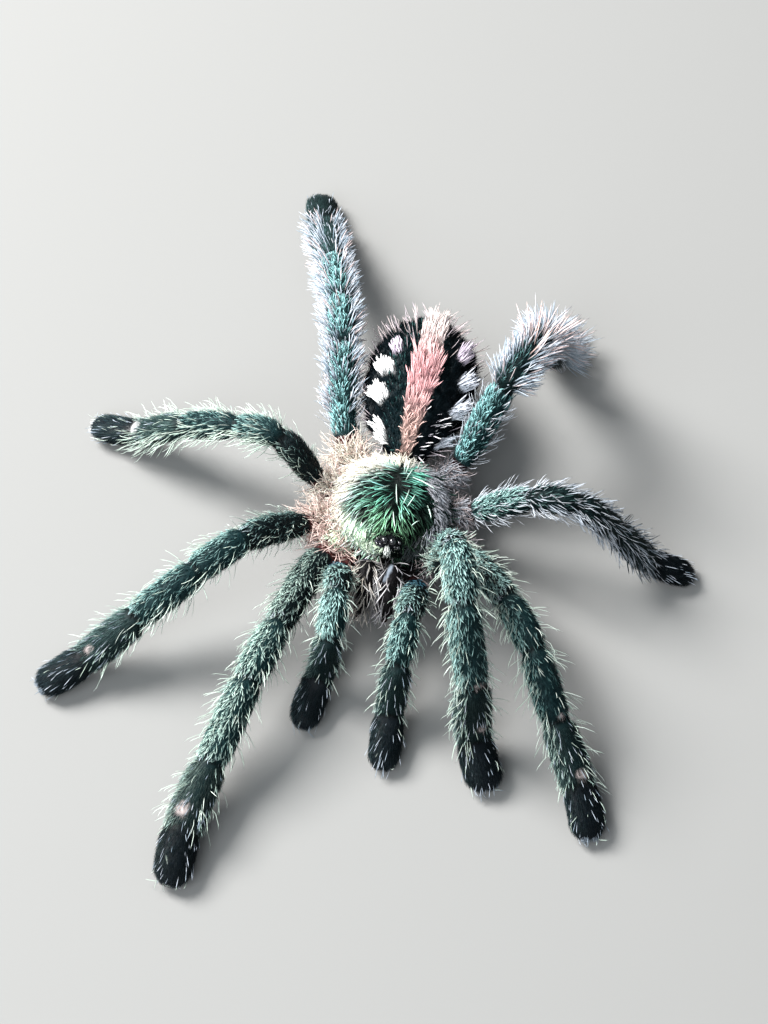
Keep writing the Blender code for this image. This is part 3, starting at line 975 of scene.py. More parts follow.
class Coat:
    """The hairs of one piece."""

    def __init__(self, name, slot, material):
        self.name, self.slot, self.material = name, slot, material
        self.corners, self.faces, self.colours, self.maps = [], [], [], []
        self.count = 0

    # Most layers give a darker root colour than tip: partly the hair's own darker base, partly painted
    # shade deep in the coat.
    def grow(self, spots, lie, length, width, lift, root_colour, tip_colour,
             droop=0.0, sway=0.0, bends=2, flat=0.7, fade=0.7, sunk=0.04):
        """Adds a hair at each spot. lift is its angle off the skin in degrees at the root, droop
        how much of that it loses by the tip, and sway how far it turns sideways. Each of these,
        and the length and width, may be a pair to draw from. bends is the number of its rings,
        flat its height as a share of its width, and sunk how deep its root sits. With a fade below
        1 the root's colour gives way early."""
        number = len(spots)
        if number == 0:
            return
        given = (length, width, lift, droop, sway)
        length, width, lift, droop, sway = (for_each(value, spots) for value in given)
        lift, droop, sway = np.radians((lift, droop, sway))
        out = spots.normal
        lie = unit(lie - out * (lie * out).sum(1, keepdims=True))
        side = np.cross(lie, out)
        steps = np.r_[np.linspace(0, BLUNT, bends), 1.0]
        rings, place = [], spots.place - out * sunk
        for ring in range(bends):
            share = (steps[ring] + steps[ring + 1]) / 2
            turn, tilt = (sway * share)[:, None], (lift - droop * share)[:, None]
            level = lie * np.cos(turn) + side * np.sin(turn)
            way = level * np.cos(tilt) + out * np.sin(tilt)
            across = side * np.cos(turn) - lie * np.sin(turn)
            above = np.cross(across, way)
            radius = (width / 2 * RING_WIDTHS[bends][ring])[:, None]
            rings += [place + radius * (across * np.cos(angle) + above * (flat * np.sin(angle)))
                      for angle in RING_TURNS]
            place = place + way * (length * (steps[ring + 1] - steps[ring]))[:, None]
        corners = np.stack(rings + [place], 1)
        per_hair = corners.shape[1]
        first = self.count + np.arange(number)[:, None, None] * per_hair
        self.corners.append(corners.reshape(-1, 3))
        self.faces.append((first + hair_faces(bends)).reshape(-1, 3))
        self.count += number * per_hair

        along = np.r_[np.repeat(steps[:-1], 3), 1.0]
        run = along[None, :, None] ** fade
        root = np.broadcast_to(root_colour, (number, 3))[:, None]
        tip = np.broadcast_to(tip_colour, (number, 3))[:, None]
        self.colours.append((root * (1 - run) + tip * run).reshape(-1, 3))
        across_patch = np.r_[np.tile([-0.5, 0, 0.5], bends), 0.0]
        patch = np.stack([across_patch, along - 0.5], 1) * PATCH
        spot_map = PATCH + spots.map * (1 - 2 * PATCH)
        self.maps.append((spot_map[:, None] + patch).reshape(-1, 2))

    def finish(self):
        """Makes the piece: one mesh, its colours and its map."""
        corners = np.concatenate(self.corners).astype(np.float32)
        corners[:, 2] = corners[:, 2].clip(LOWEST)
        faces = np.concatenate(self.faces).astype(np.int32)
        mesh = bpy.data.meshes.new(self.name)
        mesh.vertices.add(len(corners))
        mesh.vertices.foreach_set("co", corners.ravel())
        mesh.loops.add(faces.size)
        mesh.loops.foreach_set("vertex_index", faces.ravel())
        mesh.polygons.add(len(faces))
        mesh.polygons.foreach_set("loop_start", np.arange(0, faces.size, 3, dtype=np.int32))
        mesh.update(calc_edges=True)
        paint_points(mesh, np.concatenate(self.colours))
        layer = mesh.uv_layers.new(name="OFBake")
        layer.data.foreach_set("uv", np.concatenate(self.maps)[faces.ravel()].astype(np.float32).ravel())
        obj = finish_piece(show(self.name, mesh), self.material)
        print(f"{self.name}: {len(faces)} triangles")
        return obj


def make_coat(name, slot, material, *layers):
    """A piece of one or more layers of hair, grown in turn."""
    coat = Coat(name, slot, material)
    for layer in layers:
        layer(coat)
    return coat.finish()


print("triangles of a hair, by its rings:", {bends: len(hair_faces(bends)) for bends in RING_WIDTHS})

# %% Finding places to grow
triangle_place = skin_place[skin_triangle]
triangle_area = areas_of(triangle_place)
triangle_owner = skin_owner[skin_triangle[:, 0]]


def roots(nodes, density):
    """Spots spread over the skin of some solids, so many per square mm."""
    mine = np.flatnonzero(np.isin(triangle_owner, [NODE_NAMES.index(node) for node in nodes]))
    pick, weights = spread_over(triangle_place[mine], int(triangle_area[mine].sum() * density))
    pick = mine[pick]
    return Spots((triangle_place[pick] * weights).sum(1),
                 (skin_normal[skin_triangle[pick]] * weights).sum(1))


def limb_spots(limb, density, segments=None):
    """Spots on a limb, or on some of its segments, that know their place and segment's name."""
    nodes = [f"{limb}_{segment}" for segment in segments or segments_of(limb)]
    spots = place_on_limb(roots(nodes, density), limb)
    spots.name = np.array(segments_of(limb))[spots.segment]
    return spots


def front_spots(nodes, density):
    return place_on_front_body(roots(nodes, density))


def hind_spots(density, nodes=("abdomen",)):
    return place_on_hind_body(roots(nodes, density))


print("skin area:", round(triangle_area.sum()), "mm2")

# %% [markdown]
# ## The legs' velvet
#
# Short dark hair lies flat towards the toe. Over it lie longer, curly hairs with a metallic sheen,
# and they make the teal. A real hair shines like that only where the light meets it square on. An
# anisotropic shader could do the same, but hairs this small are hard to bake, so the sheen is in
# their colour: they are paler, and stand closer, on the side of the limb that faces the light.

# %% Velvet
UNDER_DENSITY = 90
GLINT_DENSITY = 66
HIP_RING = 0.6  # where the fur of a limb starts, past the bare maroon ring at its hip


def towards_toe(spots, fan, stray):
    """Down the leg, turned outwards by fan degrees at the sides, and up to stray at random."""
    turn = np.radians(fan * spots.edge + between(-stray, stray, spots))[:, None]
    return spots.along * np.cos(turn) + spots.side * np.sin(turn)


def shining_spots(limb, density):
    """Spots above the foot that know how strong their glints are and how much painted light they get."""
    parts = [part for part in segments_of(limb) if part not in foot_of(limb)]
    spots = limb_spots(limb, density, parts)
    spots.strength = glint_strength(spots, limb)
    spots.lit = lit_side(spots, 0.3 * (spots.strength - 0.6))
    return spots


def velvet(coat, limb):
    """The dark short hair, its tips painted lighter on the side that faces the lamp."""
    spots = shining_spots(limb, UNDER_DENSITY)
    thin = 0.5 * bump(spots.from_joint, 0, 0.12)
    spots = spots.keep(happens(1 - thin) & (spots.run > HIP_RING))
    dark, middle, _ = leg_marking(spots, limb)
    share = between(0.0, 0.6, spots) * spots.strength.clip(0.1, 1) * spots.lit
    tip = mix(mix(dark, middle, share), mark_colour(limb), mark_share(spots, limb) * 0.8)
    coat.grow(spots, towards_toe(spots, 6, 18), (0.28, 0.46), (0.04, 0.06), (14, 34),
              dark * 0.4, tip, bends=1)


def glints(coat, limb):
    """The pale curly hair over it, silver at the end of each segment, painted paler and grown closer on
    the side that faces the lamp.
    """
    spots = shining_spots(limb, GLINT_DENSITY)
    few = (0.25 + 0.75 * spots.strength.clip(0, 1)) * (0.12 + 0.88 * spots.lit)
    few = few * ramp(spots.top, -0.7, 0.1) * (1 - 0.85 * bump(spots.from_joint, 0, 0.10))
    spots = spots.keep(happens(few) & (spots.run > HIP_RING))
    strength, lit = spots.strength, spots.lit
    dark, middle, bright = leg_marking(spots, limb)
    share = between(0.0, 1.0, spots) ** 0.8 * (0.35 + 0.65 * strength) * (0.25 + 0.85 * lit)
    tip = mix(mix(dark, middle, 0.25 + 0.6 * lit), bright, share.clip(0, 1.15))
    silvery = ramp(spots.share, 0.86, 0.94) * lit * (between(0, 1, spots) < 0.45)
    tip = mix(tip, SILVER, silvery * 0.8)
    tip = mix(tip, mark_colour(limb), mark_share(spots, limb))
    coat.grow(spots, towards_toe(spots, 8, 26), (0.40, 0.85), (0.045, 0.075), (6, 20),
              mix(dark, tip, 0.25) * 0.7, tip, droop=(0, 20), sway=(-55, 55))


# %% [markdown]
# ## The feet
#
# The last two segments widen into a dense dark brush, which is what lets this spider climb glass.
# Its hairs fan out at both sides, and grow shorter and greyer towards the toe. In the pale marks
# they are short and take the mark's colour. A few paler hairs lie over the brush as dashes, and
# some toes show their two claw tufts, little pads of very short hair. The brush could be one
# fuzzy solid, but its edge would look cut, so it is grown like the rest, only finer and closer.

# %% Foot brush
BRUSH_DENSITY = 170
DASH_DENSITY = 3.4


def foot_brush(coat, limb):
    """Dense fine hair that fans out at both sides, with painted light and a painted sheen on the side that
    faces the lamp.
    """
    spots = limb_spots(limb, BRUSH_DENSITY, foot_of(limb))
    at_side, lit = abs(spots.edge), lit_side(spots)
    is_toe = spots.name == "tarsus"
    to_end = ramp(spots.run, LINES[limb].length - 1.5, LINES[limb].length - 0.1)
    dark, middle, bright = leg_marking(spots, limb)
    tip = mix(dark, middle, between(0.05, 1.0, spots) * lit)
    painted_sheen = np.where(is_toe, 0.6, 0.6 + 0.5 * min(GLINTS[limb][2], 1.2))
    tip = mix(tip, bright, between(0, 1, spots) ** 1.4 * (0.45 + 0.55 * at_side) * painted_sheen * lit)
    tip = mix(tip, PALE_SLATE * 0.6, to_end * between(-0.5, 0.8, spots).clip(0, 1))
    marked = mark_share(spots, limb)
    tip = mix(tip, mark_colour(limb), marked)
    root = mix(dark * 0.4, mark_colour(limb), marked * 0.5)
    lift = between(6, 14, spots) + np.where(is_toe, 4, 9) * at_side
    length = between(0.42, 0.72, spots) * (1 - 0.45 * to_end) * (1 - 0.45 * marked)
    coat.grow(spots, towards_toe(spots, np.where(is_toe, 8, 18), 8), length, (0.030, 0.046), lift,
              root, tip, bends=1)


def pale_dashes(coat, limb):
    """A few longer pale hairs on top of the brush."""
    spots = limb_spots(limb, DASH_DENSITY, foot_of(limb))
    spots = spots.keep((spots.top > -0.1) & (mark_share(spots, limb) < 0.2))
    tip = mix(PALE_SLATE, SILVER, between(0.0, 1.0, spots))
    coat.grow(spots, towards_toe(spots, 16, 14), (0.45, 1.05), (0.034, 0.05), (14, 30),
              tip * 0.5, tip, droop=(8, 22), sway=(-12, 12))


# %% Claw tufts
CLAW_DENSITY = 320
CLAW_LENGTH = 0.55  # how far back from the toe's end they reach
CLAWS_SHOWN = ("leg_2_right", "leg_2_left", "leg_3_right")


def claw_tuft(coat, limb):
    """Two pale lobes of very short hair at the end of a toe."""
    spots = limb_spots(limb, CLAW_DENSITY, ("tarsus",))
    spots = spots.keep((spots.run > LINES[limb].length - CLAW_LENGTH) & (abs(spots.edge) > 0.2)
                       & (spots.top > -0.6) & (spots.top < 0.9))
    pale, least = (WHITE, 0.8) if limb == WHITE_FOOT else (SILVER, 0)
    tip = mix(PALE_SLATE, pale, between(least, 0.9, spots))
    coat.grow(spots, towards_toe(spots, 8, 10), (0.30, 0.46), 0.04, (12, 34), tip * 0.7, tip, bends=1)


# %% [markdown]
# ## Bristles
#
# Long pale bristles stand out of the velvet. They are what a spider feels with, so they grow all
# round a leg, but most are seen at its sides, against whatever lies behind. They are made like the
# other hairs, only longer, and three rings let them curve. Shorter hair fills in between them.

# %% Bristles
# For each kind of leg: bristles per square mm, length in mm, colour, and lift in degrees.
BRISTLES = {
    "front": (5.0, (0.7, 1.8), PALE_MINT, (40, 80)),
    "palp": (4.4, (0.6, 1.5), PALE_MINT, (40, 80)),
    "third_right": (14.0, (0.7, 1.9), PALE_MINT, (40, 82)),
    "third_left": (12.0, (0.7, 1.6), SILVER, (35, 70)),
    "hind": (8.0, (0.7, 1.5), SILVER, (40, 75)),
}
KIND = {
    "leg_3_left": "third_left", "leg_3_right": "third_right", "leg_4_left": "hind",
    "leg_4_right": "hind", "pedipalp_left": "palp", "pedipalp_right": "palp",
}
FRINGE_DENSITY = 13


def bristles(coat, limb):
    """The long ones, most of them at the sides."""
    density, lengths, colour, lifts = BRISTLES[KIND.get(limb, "front")]
    spots = limb_spots(limb, density)
    on_top = 0.45 if limb == "leg_3_left" else 0.16
    wanted = np.where(spots.name == "tarsus", 0.12, on_top + (1 - on_top) * abs(spots.edge) ** 2)
    wanted = wanted * np.where(spots.name == "metatarsus", 0.7, 1.0)
    if limb == "leg_3_right":
        wanted = wanted * np.where(spots.name == "femur", 0.3, 1.0)
    spots = spots.keep(happens(wanted) & (spots.top > -0.75) & (spots.run > 0.5)
                       & (mark_share(spots, limb) < 0.3))
    at_side = abs(spots.edge)
    small = np.where(spots.name == "tarsus", 0.6, 1.0)
    length = between(*lengths, spots) * (0.5 + 0.5 * at_side) * small
    lift = between(*lifts, spots) * (0.6 + 0.4 * at_side) * small
    tip = mix(colour, WHITE, between(0, 0.4, spots)) * between(0.55, 1.0, spots)[:, None]
    coat.grow(spots, towards_toe(spots, 14, 26), length, (0.036, 0.058), lift, tip * 0.6, tip,
              droop=(20, 75), sway=(-35, 35), bends=3, flat=1.0)


def side_fringe(coat, limb):
    """The shorter hair between them, at both sides."""
    colour = BRISTLES[KIND.get(limb, "front")][2]
    spots = limb_spots(limb, FRINGE_DENSITY)
    spots = spots.keep((abs(spots.edge) > 0.55) & (spots.top > -0.6) & (spots.run > 0.9)
                       & (spots.name != "tarsus") & happens(0.3 + 0.7 * lit_side(spots, 0.4)))
    tip = mix(colour, SEA, 0.5) * between(0.35, 0.8, spots)[:, None]
    coat.grow(spots, towards_toe(spots, 22, 20), (0.35, 0.85), (0.03, 0.045), (28, 62),
              tip * 0.6, tip, droop=(10, 50), sway=(-30, 30))


# %% Dress all ten limbs
SILVERY = ("leg_3_left", "leg_4_left", "leg_4_right")  # these get silver brushes at their sides


def limb_coat(limb):
    """All that grows on a limb, as one piece."""
    coat = Coat(f"coat_{limb}", "legs", GLINT_FINISH)
    for dress in (velvet, glints, foot_brush, pale_dashes, bristles):
        dress(coat, limb)
    if limb not in SILVERY:
        side_fringe(coat, limb)
    if limb in CLAWS_SHOWN:
        claw_tuft(coat, limb)
    return coat.finish()


for limb in LIMBS:
    limb_coat(limb)

# %% [markdown]
# ## The silver brushes
#
# The hindmost legs carry a brush of long silvery hairs, so dense that the teal only shows along
# their middle. These stand well off the leg, and some of them are pinkish. The left one is folded,
# and above its bend the longest hairs of all stand up like a crown. The third left leg has a
# thinner brush of dark strands with pale ones between, which fades towards the toe. Each brush is
# a piece of its own, so that no piece gets too large.

# %% Silver brushes
# Each limb's segments, the joint that its brush starts from, hairs per square mm, length in mm,
# lift in degrees, and the darkest and palest colour.
SILVER_BRUSHES = {
    "leg_4_left": (("patella", "tibia", "metatarsus", "tarsus"),
                   0.9, 26, (0.8, 1.6), (32, 62), PALE_SLATE, SILVER),
    "leg_4_right": (("femur", "patella", "tibia", "metatarsus"),
                    0.2, 18, (0.7, 1.4), (38, 68), PALE_SLATE, SILVER),
    "leg_3_left": (("patella", "tibia", "metatarsus"),
                   1.0, 8, (0.7, 1.4), (24, 55), SLATE * 0.10, SILVER * 0.9),
}
FOLDED = "leg_4_left"
FOLD_JOINT = 2  # the joint of its patella and tibia, counted from the hip
CROWN_DENSITY = 5.0


def crown(coat, limb, segments):
    """The longest hairs, which stand up and lean back round the top of the fold."""
    spots = limb_spots(limb, CROWN_DENSITY, segments)
    middle = LINES[limb].joint_run[FOLD_JOINT] + 0.6
    spots = spots.keep((spots.top > 0.0) & (abs(spots.run - middle) < 1.5))
    tip = mix(SILVER, PALE_PINK, between(0, 1, spots))
    sideways = between(-0.5, 0.8, spots)
    backwards = 0.3 * spots.along + np.c_[sideways, np.ones(len(spots)), np.zeros(len(spots))]
    coat.grow(spots, backwards, (1.5, 2.8), (0.08, 0.11), (30, 62), tip * 0.7, tip,
              droop=(-15, 10), sway=(-25, 25), bends=3, flat=1.0)


def silver_brush(limb, segments, first, density, lengths, lifts, dark, pale):
    """Long hair that stands off the leg, thin along its middle. On the folded leg it radiates."""
    coat = Coat(f"coat_silver_{limb}", "legs", WOOL_FINISH)
    line = LINES[limb]
    spots = limb_spots(limb, density, segments)
    start = np.interp(first, range(len(line.joint_run)), line.joint_run)
    core = bump(spots.turn, np.pi / 2, 0.55)
    wanted = ramp(spots.run, start, start + 1.4) * (0.10 + 0.90 * (1 - core))
    fold = line.joint_run[FOLD_JOINT:FOLD_JOINT + 2]
    spots.bent = ramp(spots.run, *fold) * (limb == FOLDED)
    spots = spots.keep(happens(wanted) & (spots.top > -0.7 + 0.55 * spots.bent))
    tip = mix(dark, pale, between(0.0, 1.25, spots))
    if limb == "leg_3_left":
        tip = tip * (1 - 0.6 * ramp(spots.run / line.length, 0.45, 0.80))[:, None]
    else:
        tip = mix(tip, PALE_PINK, (between(0, 1, spots) < 0.22) * 0.6)
    length = between(*lengths, spots) * (1 + 0.35 * spots.bent)
    lie = towards_toe(spots, 20, 18)
    width = between(0.055, 0.09, spots)
    lift = between(*lifts, spots) + 28 * spots.bent
    droop = between(-5, 35, spots) * (1 - spots.bent)
    coat.grow(spots, lie, length, width, lift, mix(SLATE * 0.4, tip, 0.25), tip,
              droop=droop, sway=(-22, 22), bends=3, flat=1.0)
    if limb == FOLDED:
        crown(coat, limb, segments)
    return coat.finish()


for limb, dress in SILVER_BRUSHES.items():
    silver_brush(limb, *dress)

# %% [markdown]
# ## The shield
#
# The shield's hairs are coarse and lie flat. They are parted along the middle line, and spread from the
# dimple behind its middle like spokes that sweep forwards. Their green is painted light: bright on the
# side that faces the lamp, with painted shade over the other. A fringe, cream behind and lime in front,
# hangs over the rim, and a few long pale guard hairs cross the others near the dimple. One map of
# directions, made by adding the spokes, the parting and the sweep, is easier to steer here than combing
# guides by hand.

# %% Shield hair
def parted(spots):
    """Away from the middle line and from the shield's dimple, swept forwards."""
    out = unit(spots.out)
    middle = FOVEA[0] - BODY[0] + between(-0.16, 0.16, spots)
    ahead = ramp(-spots.y, -1.2, 1.6)
    sideways = np.sign(spots.x - middle) * (0.9 - 0.5 * ahead)
    return np.stack([out[:, 0] * (1 - 0.4 * ahead) + sideways, out[:, 1] * 0.6 - 0.45, 0 * ahead], 1)


def shield_under(coat):
    """A short dark coat, pale only near the rim."""
    spots = front_spots(("carapace",), density=110)
    spots = spots.keep((spots.z > 3.6) | (spots.y < -2.4))
    in_front = ramp(-spots.y, 0.6, 1.8) * ramp(-spots.x, -0.1, 0.6) * ramp(spots.rim, 0.55, 0.80)
    share = np.maximum(BARELY + 0.4 * ramp(spots.rim, 0.75, 0.95), 0.7 * in_front)
    colour = mix(BOTTLE_GREEN * 0.25, shield_marking(spots), share)
    coat.grow(spots, parted(spots), (0.3, 0.5), (0.04, 0.06), (8, 24), colour * 0.5, colour, bends=1)


def shield_over(coat):
    """The coarse green hair over it, thin along the parting."""
    spots = front_spots(("carapace",), density=26)
    seam = bump(spots.x - 0.08, 0, 0.07) * (spots.y < 0.9)
    spots = spots.keep((spots.z > 3.6) & (spots.reach < 1.1) & (spots.reach > 0.03)
                       & happens(1 - 0.5 * seam))
    shine = 0.12 + 1.6 * between(0, 1, spots) ** 1.4 + 0.5 * ramp(spots.rim, 0.6, 0.85)
    colour = (shield_marking(spots) * shine[:, None]).clip(0, 1)
    coat.grow(spots, parted(spots), (0.75, 1.5), (0.06, 0.10), (5, 18), BOTTLE_GREEN * 0.6, colour,
              droop=(6, 20), sway=(-42, 42), bends=3, flat=0.8, fade=0.75)


make_coat("coat_shield_under", "shield", VELVET_FINISH, shield_under)
make_coat("coat_shield", "shield", GLINT_FINISH, shield_over)

# %% Guard hairs and fringe
# Each guard hair: x and y of its root, the way it points in degrees from straight ahead towards
# the animal's left, its length, how far it lifts and how far it curves.
GUARD_HAIRS = (
    (0.35, 1.60, -168, 0.9375, 50, 10), (0.45, 1.50, 170, 1.00, 50, -15), (0.55, 1.15, 160, 0.875, 45, 20),
    (0.90, 1.45, 60, 2.00, 24, 10), (0.0, 0.80, 6, 2.00, 26, -8), (1.25, 0.25, -21, 2.00, 30, 6),
    (1.85, -1.40, -57, 1.375, 32, -20), (2.15, -0.20, 15, 1.25, 30, 10), (0.80, 0.40, 0, 1.50, 22, 14),
    (0.10, -1.50, 9, 1.25, 20, -12), (-0.45, 0.60, -30, 1.375, 20, 15),
)


def guard_hairs(coat):
    """A few long pale hairs that cross the others near the dimple."""
    x, y, heading, length, lift, curve = np.array(GUARD_HAIRS).T
    shield = front_spots(("carapace",), density=60)
    shield = shield.keep(shield.normal[:, 2] > 0.3)
    apart = np.hypot(shield.x[:, None] - x, shield.y[:, None] - y)
    turn = np.radians(heading)
    lie = np.stack([np.sin(turn), -np.cos(turn), 0 * turn], 1)
    coat.grow(shield.keep(apart.argmin(0)), lie, length, 0.085, lift, MINT * 0.6, MINT,
              droop=14, sway=curve, bends=3, flat=1.0, sunk=-0.1)


def rim_fringe(coat):
    """Hair that hangs over the rim: curly and cream, painted lavender as shade on the side away from the
    lamp, straighter in front.
    """
    spots = front_spots(("carapace", "underbody"), density=90)
    inner = 0.90 - 0.08 * ramp(-spots.x, 0.0, 1.5) - 0.16 * ramp(spots.x, 0.8, 2.0)
    inner = inner - 0.14 * ramp(-spots.y, 0.8, 2.0) * ramp(-spots.x, -0.1, 0.6)
    off_face = (spots.y > -2.8) | ((spots.x < -0.7) & (spots.y > -3.15))
    spots = spots.keep((spots.z > 3.45) & (spots.normal[:, 2] > -0.2) & (spots.rim > inner)
                       & (spots.reach < 1.35) & off_face)
    front = ramp(-spots.y, 0.8, 2.0) * (spots.x < 0)
    calm = 1 - 0.6 * front
    # Painted shade: lavender and silver on the animal's left, away from the lamp.
    painted_shade_tone = mix(LAVENDER, SILVER, between(0, 1, spots) * 0.7)
    colour = mix(mix(CREAM, LIME_CREAM, front), painted_shade_tone, ramp(spots.x, 0.0, 1.6))
    colour = colour * (between(0.55, 1.2, spots) * (1 - 0.5 * front) + 0.6 * front)[:, None]
    # Painted shade: the front on the animal's left is painted dark green.
    colour = mix(colour, BOTTLE_GREEN, 0.9 * ramp(-spots.y, 1.4, 2.2) * ramp(spots.x, 0.0, 0.4))
    spokes = np.c_[unit(spots.out), np.zeros(len(spots))]
    lie = spokes - np.outer(0.9 * ramp(spots.x, 0.6, 2.0) + 0.5 * front, (0, 1, 0))
    length = between(0.7, 1.4, spots) * (1 - 0.35 * ramp(-spots.y, 1.8, 2.8) * (spots.x < 0))
    coat.grow(spots, lie, length, between(0.05, 0.085, spots) * (1 + 0.3 * front),
              between(8, 45, spots) * (1 - 0.5 * front), mix(colour * 0.6, colour, front),
              colour.clip(0, 1), droop=between(10, 60, spots) * calm,
              sway=between(-70, 70, spots) * calm, bends=3)


make_coat("coat_guard", "shield", WOOL_FINISH, guard_hairs)
make_coat("coat_rim", "shield", WOOL_FINISH, rim_fringe)

# %% [markdown]
# ## Wool over the hips
#
# Round the shield, the ten coxae are covered in loose curly wool, cream and warm pink on the lit side, and
# painted lavender with darker roots on the other, as shade, through which the maroon skin of the joints
# shows. Curly hair is made by turning each hair sideways as it grows, by a different angle every time.

# %% Hip wool
def hip_wool(coat):
    """Loose curls that spread outwards, each turned its own way."""
    spots = front_spots(("underbody",), density=56)
    fewer = (1 - 0.45 * ramp(spots.x, 0.5, 2.2)) * (1 - 0.35 * ramp(-spots.y, 1.5, 2.6))
    face = (abs(spots.x) < 1.9) & (spots.y < -2.3)
    spots = spots.keep((spots.normal[:, 2] > -0.55) & (spots.z > 1.4) & happens(fewer) & ~face)
    level = np.zeros(len(spots))
    out = np.c_[unit(spots.place[:, :2] - BODY[:2]), level]
    out = out + np.c_[between(-0.9, 0.9, spots), between(-0.9, 0.9, spots), level]
    creamy = 0.3 + 0.7 * ramp(spots.y, -2.5, 1.5)
    warm = mix(mix(PALE_PINK, SALMON, 0.25), CREAM, between(0.2, 1.0, spots) * creamy)
    # Painted shade: lavender, and darker roots, towards the animal's left, away from the lamp.
    painted_shade_tone = mix(LAVENDER, PALE_PINK, between(0, 1, spots) * 0.5)
    colour = mix(warm, painted_shade_tone, ramp(spots.x, -0.6, 2.2)) * between(0.65, 1.35, spots)[:, None]
    root = mix(mix(ROSE_BROWN * 0.7, BLUE_BLACK, ramp(spots.x, 0, 2.2)), colour, 0.15)
    longer = 1 + 0.35 * ramp(-spots.x, 0.5, 2.5)
    coat.grow(spots, out, between(0.7, 1.6, spots) * longer, (0.05, 0.08), (20, 75), root,
              colour.clip(0, 1), droop=(0, 80), sway=(-120, 120), bends=3)


def underside_hair(coat):
    """Short plain hair that lies rearwards under the body."""
    spots = front_spots(("underbody",), density=24)
    spots = spots.keep(spots.normal[:, 2] <= -0.4)
    colour = mix(ROSE_BROWN, LAVENDER, between(0, 1, spots) * 0.4)
    coat.grow(spots, np.array((0.0, 1.0, 0.0)), (0.4, 0.7), 0.06, (15, 35), colour * 0.5, colour,
              sway=(-25, 25))


make_coat("coat_hips", "underside", WOOL_FINISH, hip_wool, underside_hair)

# %% [markdown]
# ## The hind body
#
# Black velvet lies rearwards over the whole hind body. On top of it come the stripe, of long flat
# strands that start as copper curls and end in a cream tuft, the white brushes at the sides, and
# single long hairs round the rear. Each is a layer of hair that grows only where its marking is,
# so that the layers cover each other as they do on the animal.

# %% The hind body's velvet
REAR = HIND_AXES @ np.array([0.0, 1.0, 0.0])
SIDEWAYS = HIND_AXES @ np.array([1.0, 0.0, 0.0])


def rearwards(spots, outwards):
    """Towards the tip of the hind body, and a little away from its middle line."""
    return REAR + SIDEWAYS * (np.sin(np.radians(spots.angle)) * outwards)[:, None]


def hind_velvet(coat):
    """Short black hair, with a paler base under the stripe and the brushes."""
    spots = hind_spots(density=110)
    base = hind_marking(spots)
    shape = shapes(spots, (0.35, 0.6), (0.04, 0.06), (14, 34))
    tip = base * between(0.6, 1.6, spots)[:, None]
    coat.grow(spots, rearwards(spots, 0.2), *shape, base * 0.5, tip, bends=1)


def hind_glints(coat):
    """A teal sheen on the lit side of the stripe."""
    spots = hind_spots(density=10)
    spots = spots.keep(happens(bump(spots.angle, -22, 26)) & (stripe_share(spots) < 0.2))
    colour = mix(DEEP_TEAL, TEAL, between(0.1, 0.9, spots))
    coat.grow(spots, rearwards(spots, 0.2), (0.3, 0.5), (0.04, 0.06), (16, 34), colour * 0.5, colour)


make_coat("coat_hind_velvet", "hind_body", VELVET_FINISH, hind_velvet, hind_glints)

# %% The stripe
def hind_stripe(coat):
    """Copper curls in front, then flat strands that splay at the edges and in the tuft."""
    spots = hind_spots(density=60)
    spots = spots.keep(stripe_share(spots) > 0.5)
    spots.front = 1 - ramp(spots.back, -0.72, -0.35)
    spots = spots.keep(happens(1 - 0.6 * spots.front - 0.45 * ramp(spots.back, 0.4, 0.8)))
    front, rear = spots.front, ramp(spots.back, 0.3, 0.9)
    colour = stripe_marking(spots.back) * between(0.72, 1.12, spots)[:, None]
    length = between(0.8, 1.4, spots) * (1 - 0.35 * front + 0.25 * rear)
    at_edge = ramp(abs(spots.across - STRIPE_MIDDLE), 0.3, 0.9)
    width = between(0.07, 0.11, spots)
    lift = between(8, 20, spots) + 16 * front + 14 * rear + 4 * at_edge
    coat.grow(spots, rearwards(spots, 0.3 + 0.8 * at_edge + 0.9 * rear), length, width, lift,
              colour * 0.55, colour, droop=between(0, 14, spots),
              sway=between(-16, 16, spots) * (1 + 5 * front), bends=3, flat=0.6)


make_coat("coat_stripe", "hind_body", WOOL_FINISH, hind_stripe)

# %% The white brushes and the long hairs
def hind_brushes(coat):
    """The white brushes, longer on the animal's left."""
    everywhere = hind_spots(density=170)
    for brush in BRUSHES:
        spots = everywhere.keep(brush_distance(everywhere, brush) < 1)
        colour = brush[4] * between(0.85, 1.05, spots)[:, None]
        long = between(0, 1, spots) ** 2 * (1.1 if brush[1] > 0 else 0.5)
        coat.grow(spots, rearwards(spots, 0.8), 0.45 + long, (0.08, 0.12), (30, 55),
                  colour * 0.9, colour.clip(0, 1), droop=(15, 40), sway=(-16, 16))


def hind_long_hairs(coat):
    """Single long hairs at the rear and the sides."""
    spots = hind_spots(density=7, nodes=("abdomen", "spinneret_left", "spinneret_right"))
    at_rear = 0.6 * ramp(spots.back, -0.1, 0.7)
    at_side = ramp(abs(spots.angle), 60, 85)
    spots = spots.keep(happens(0.9 * np.maximum(at_rear, at_side * 0.35)) & (stripe_share(spots) < 0.5))
    colour = mix(LILAC, mix(WHITE, PALE_PINK, 0.6), between(0, 1, spots))
    colour = colour * between(0.5, 1.0, spots)[:, None]
    coat.grow(spots, rearwards(spots, 1.0), (0.8, 1.7), (0.04, 0.065), (30, 60), colour * 0.6, colour,
              droop=(0, 25), sway=(-20, 20), bends=3, flat=1.0)


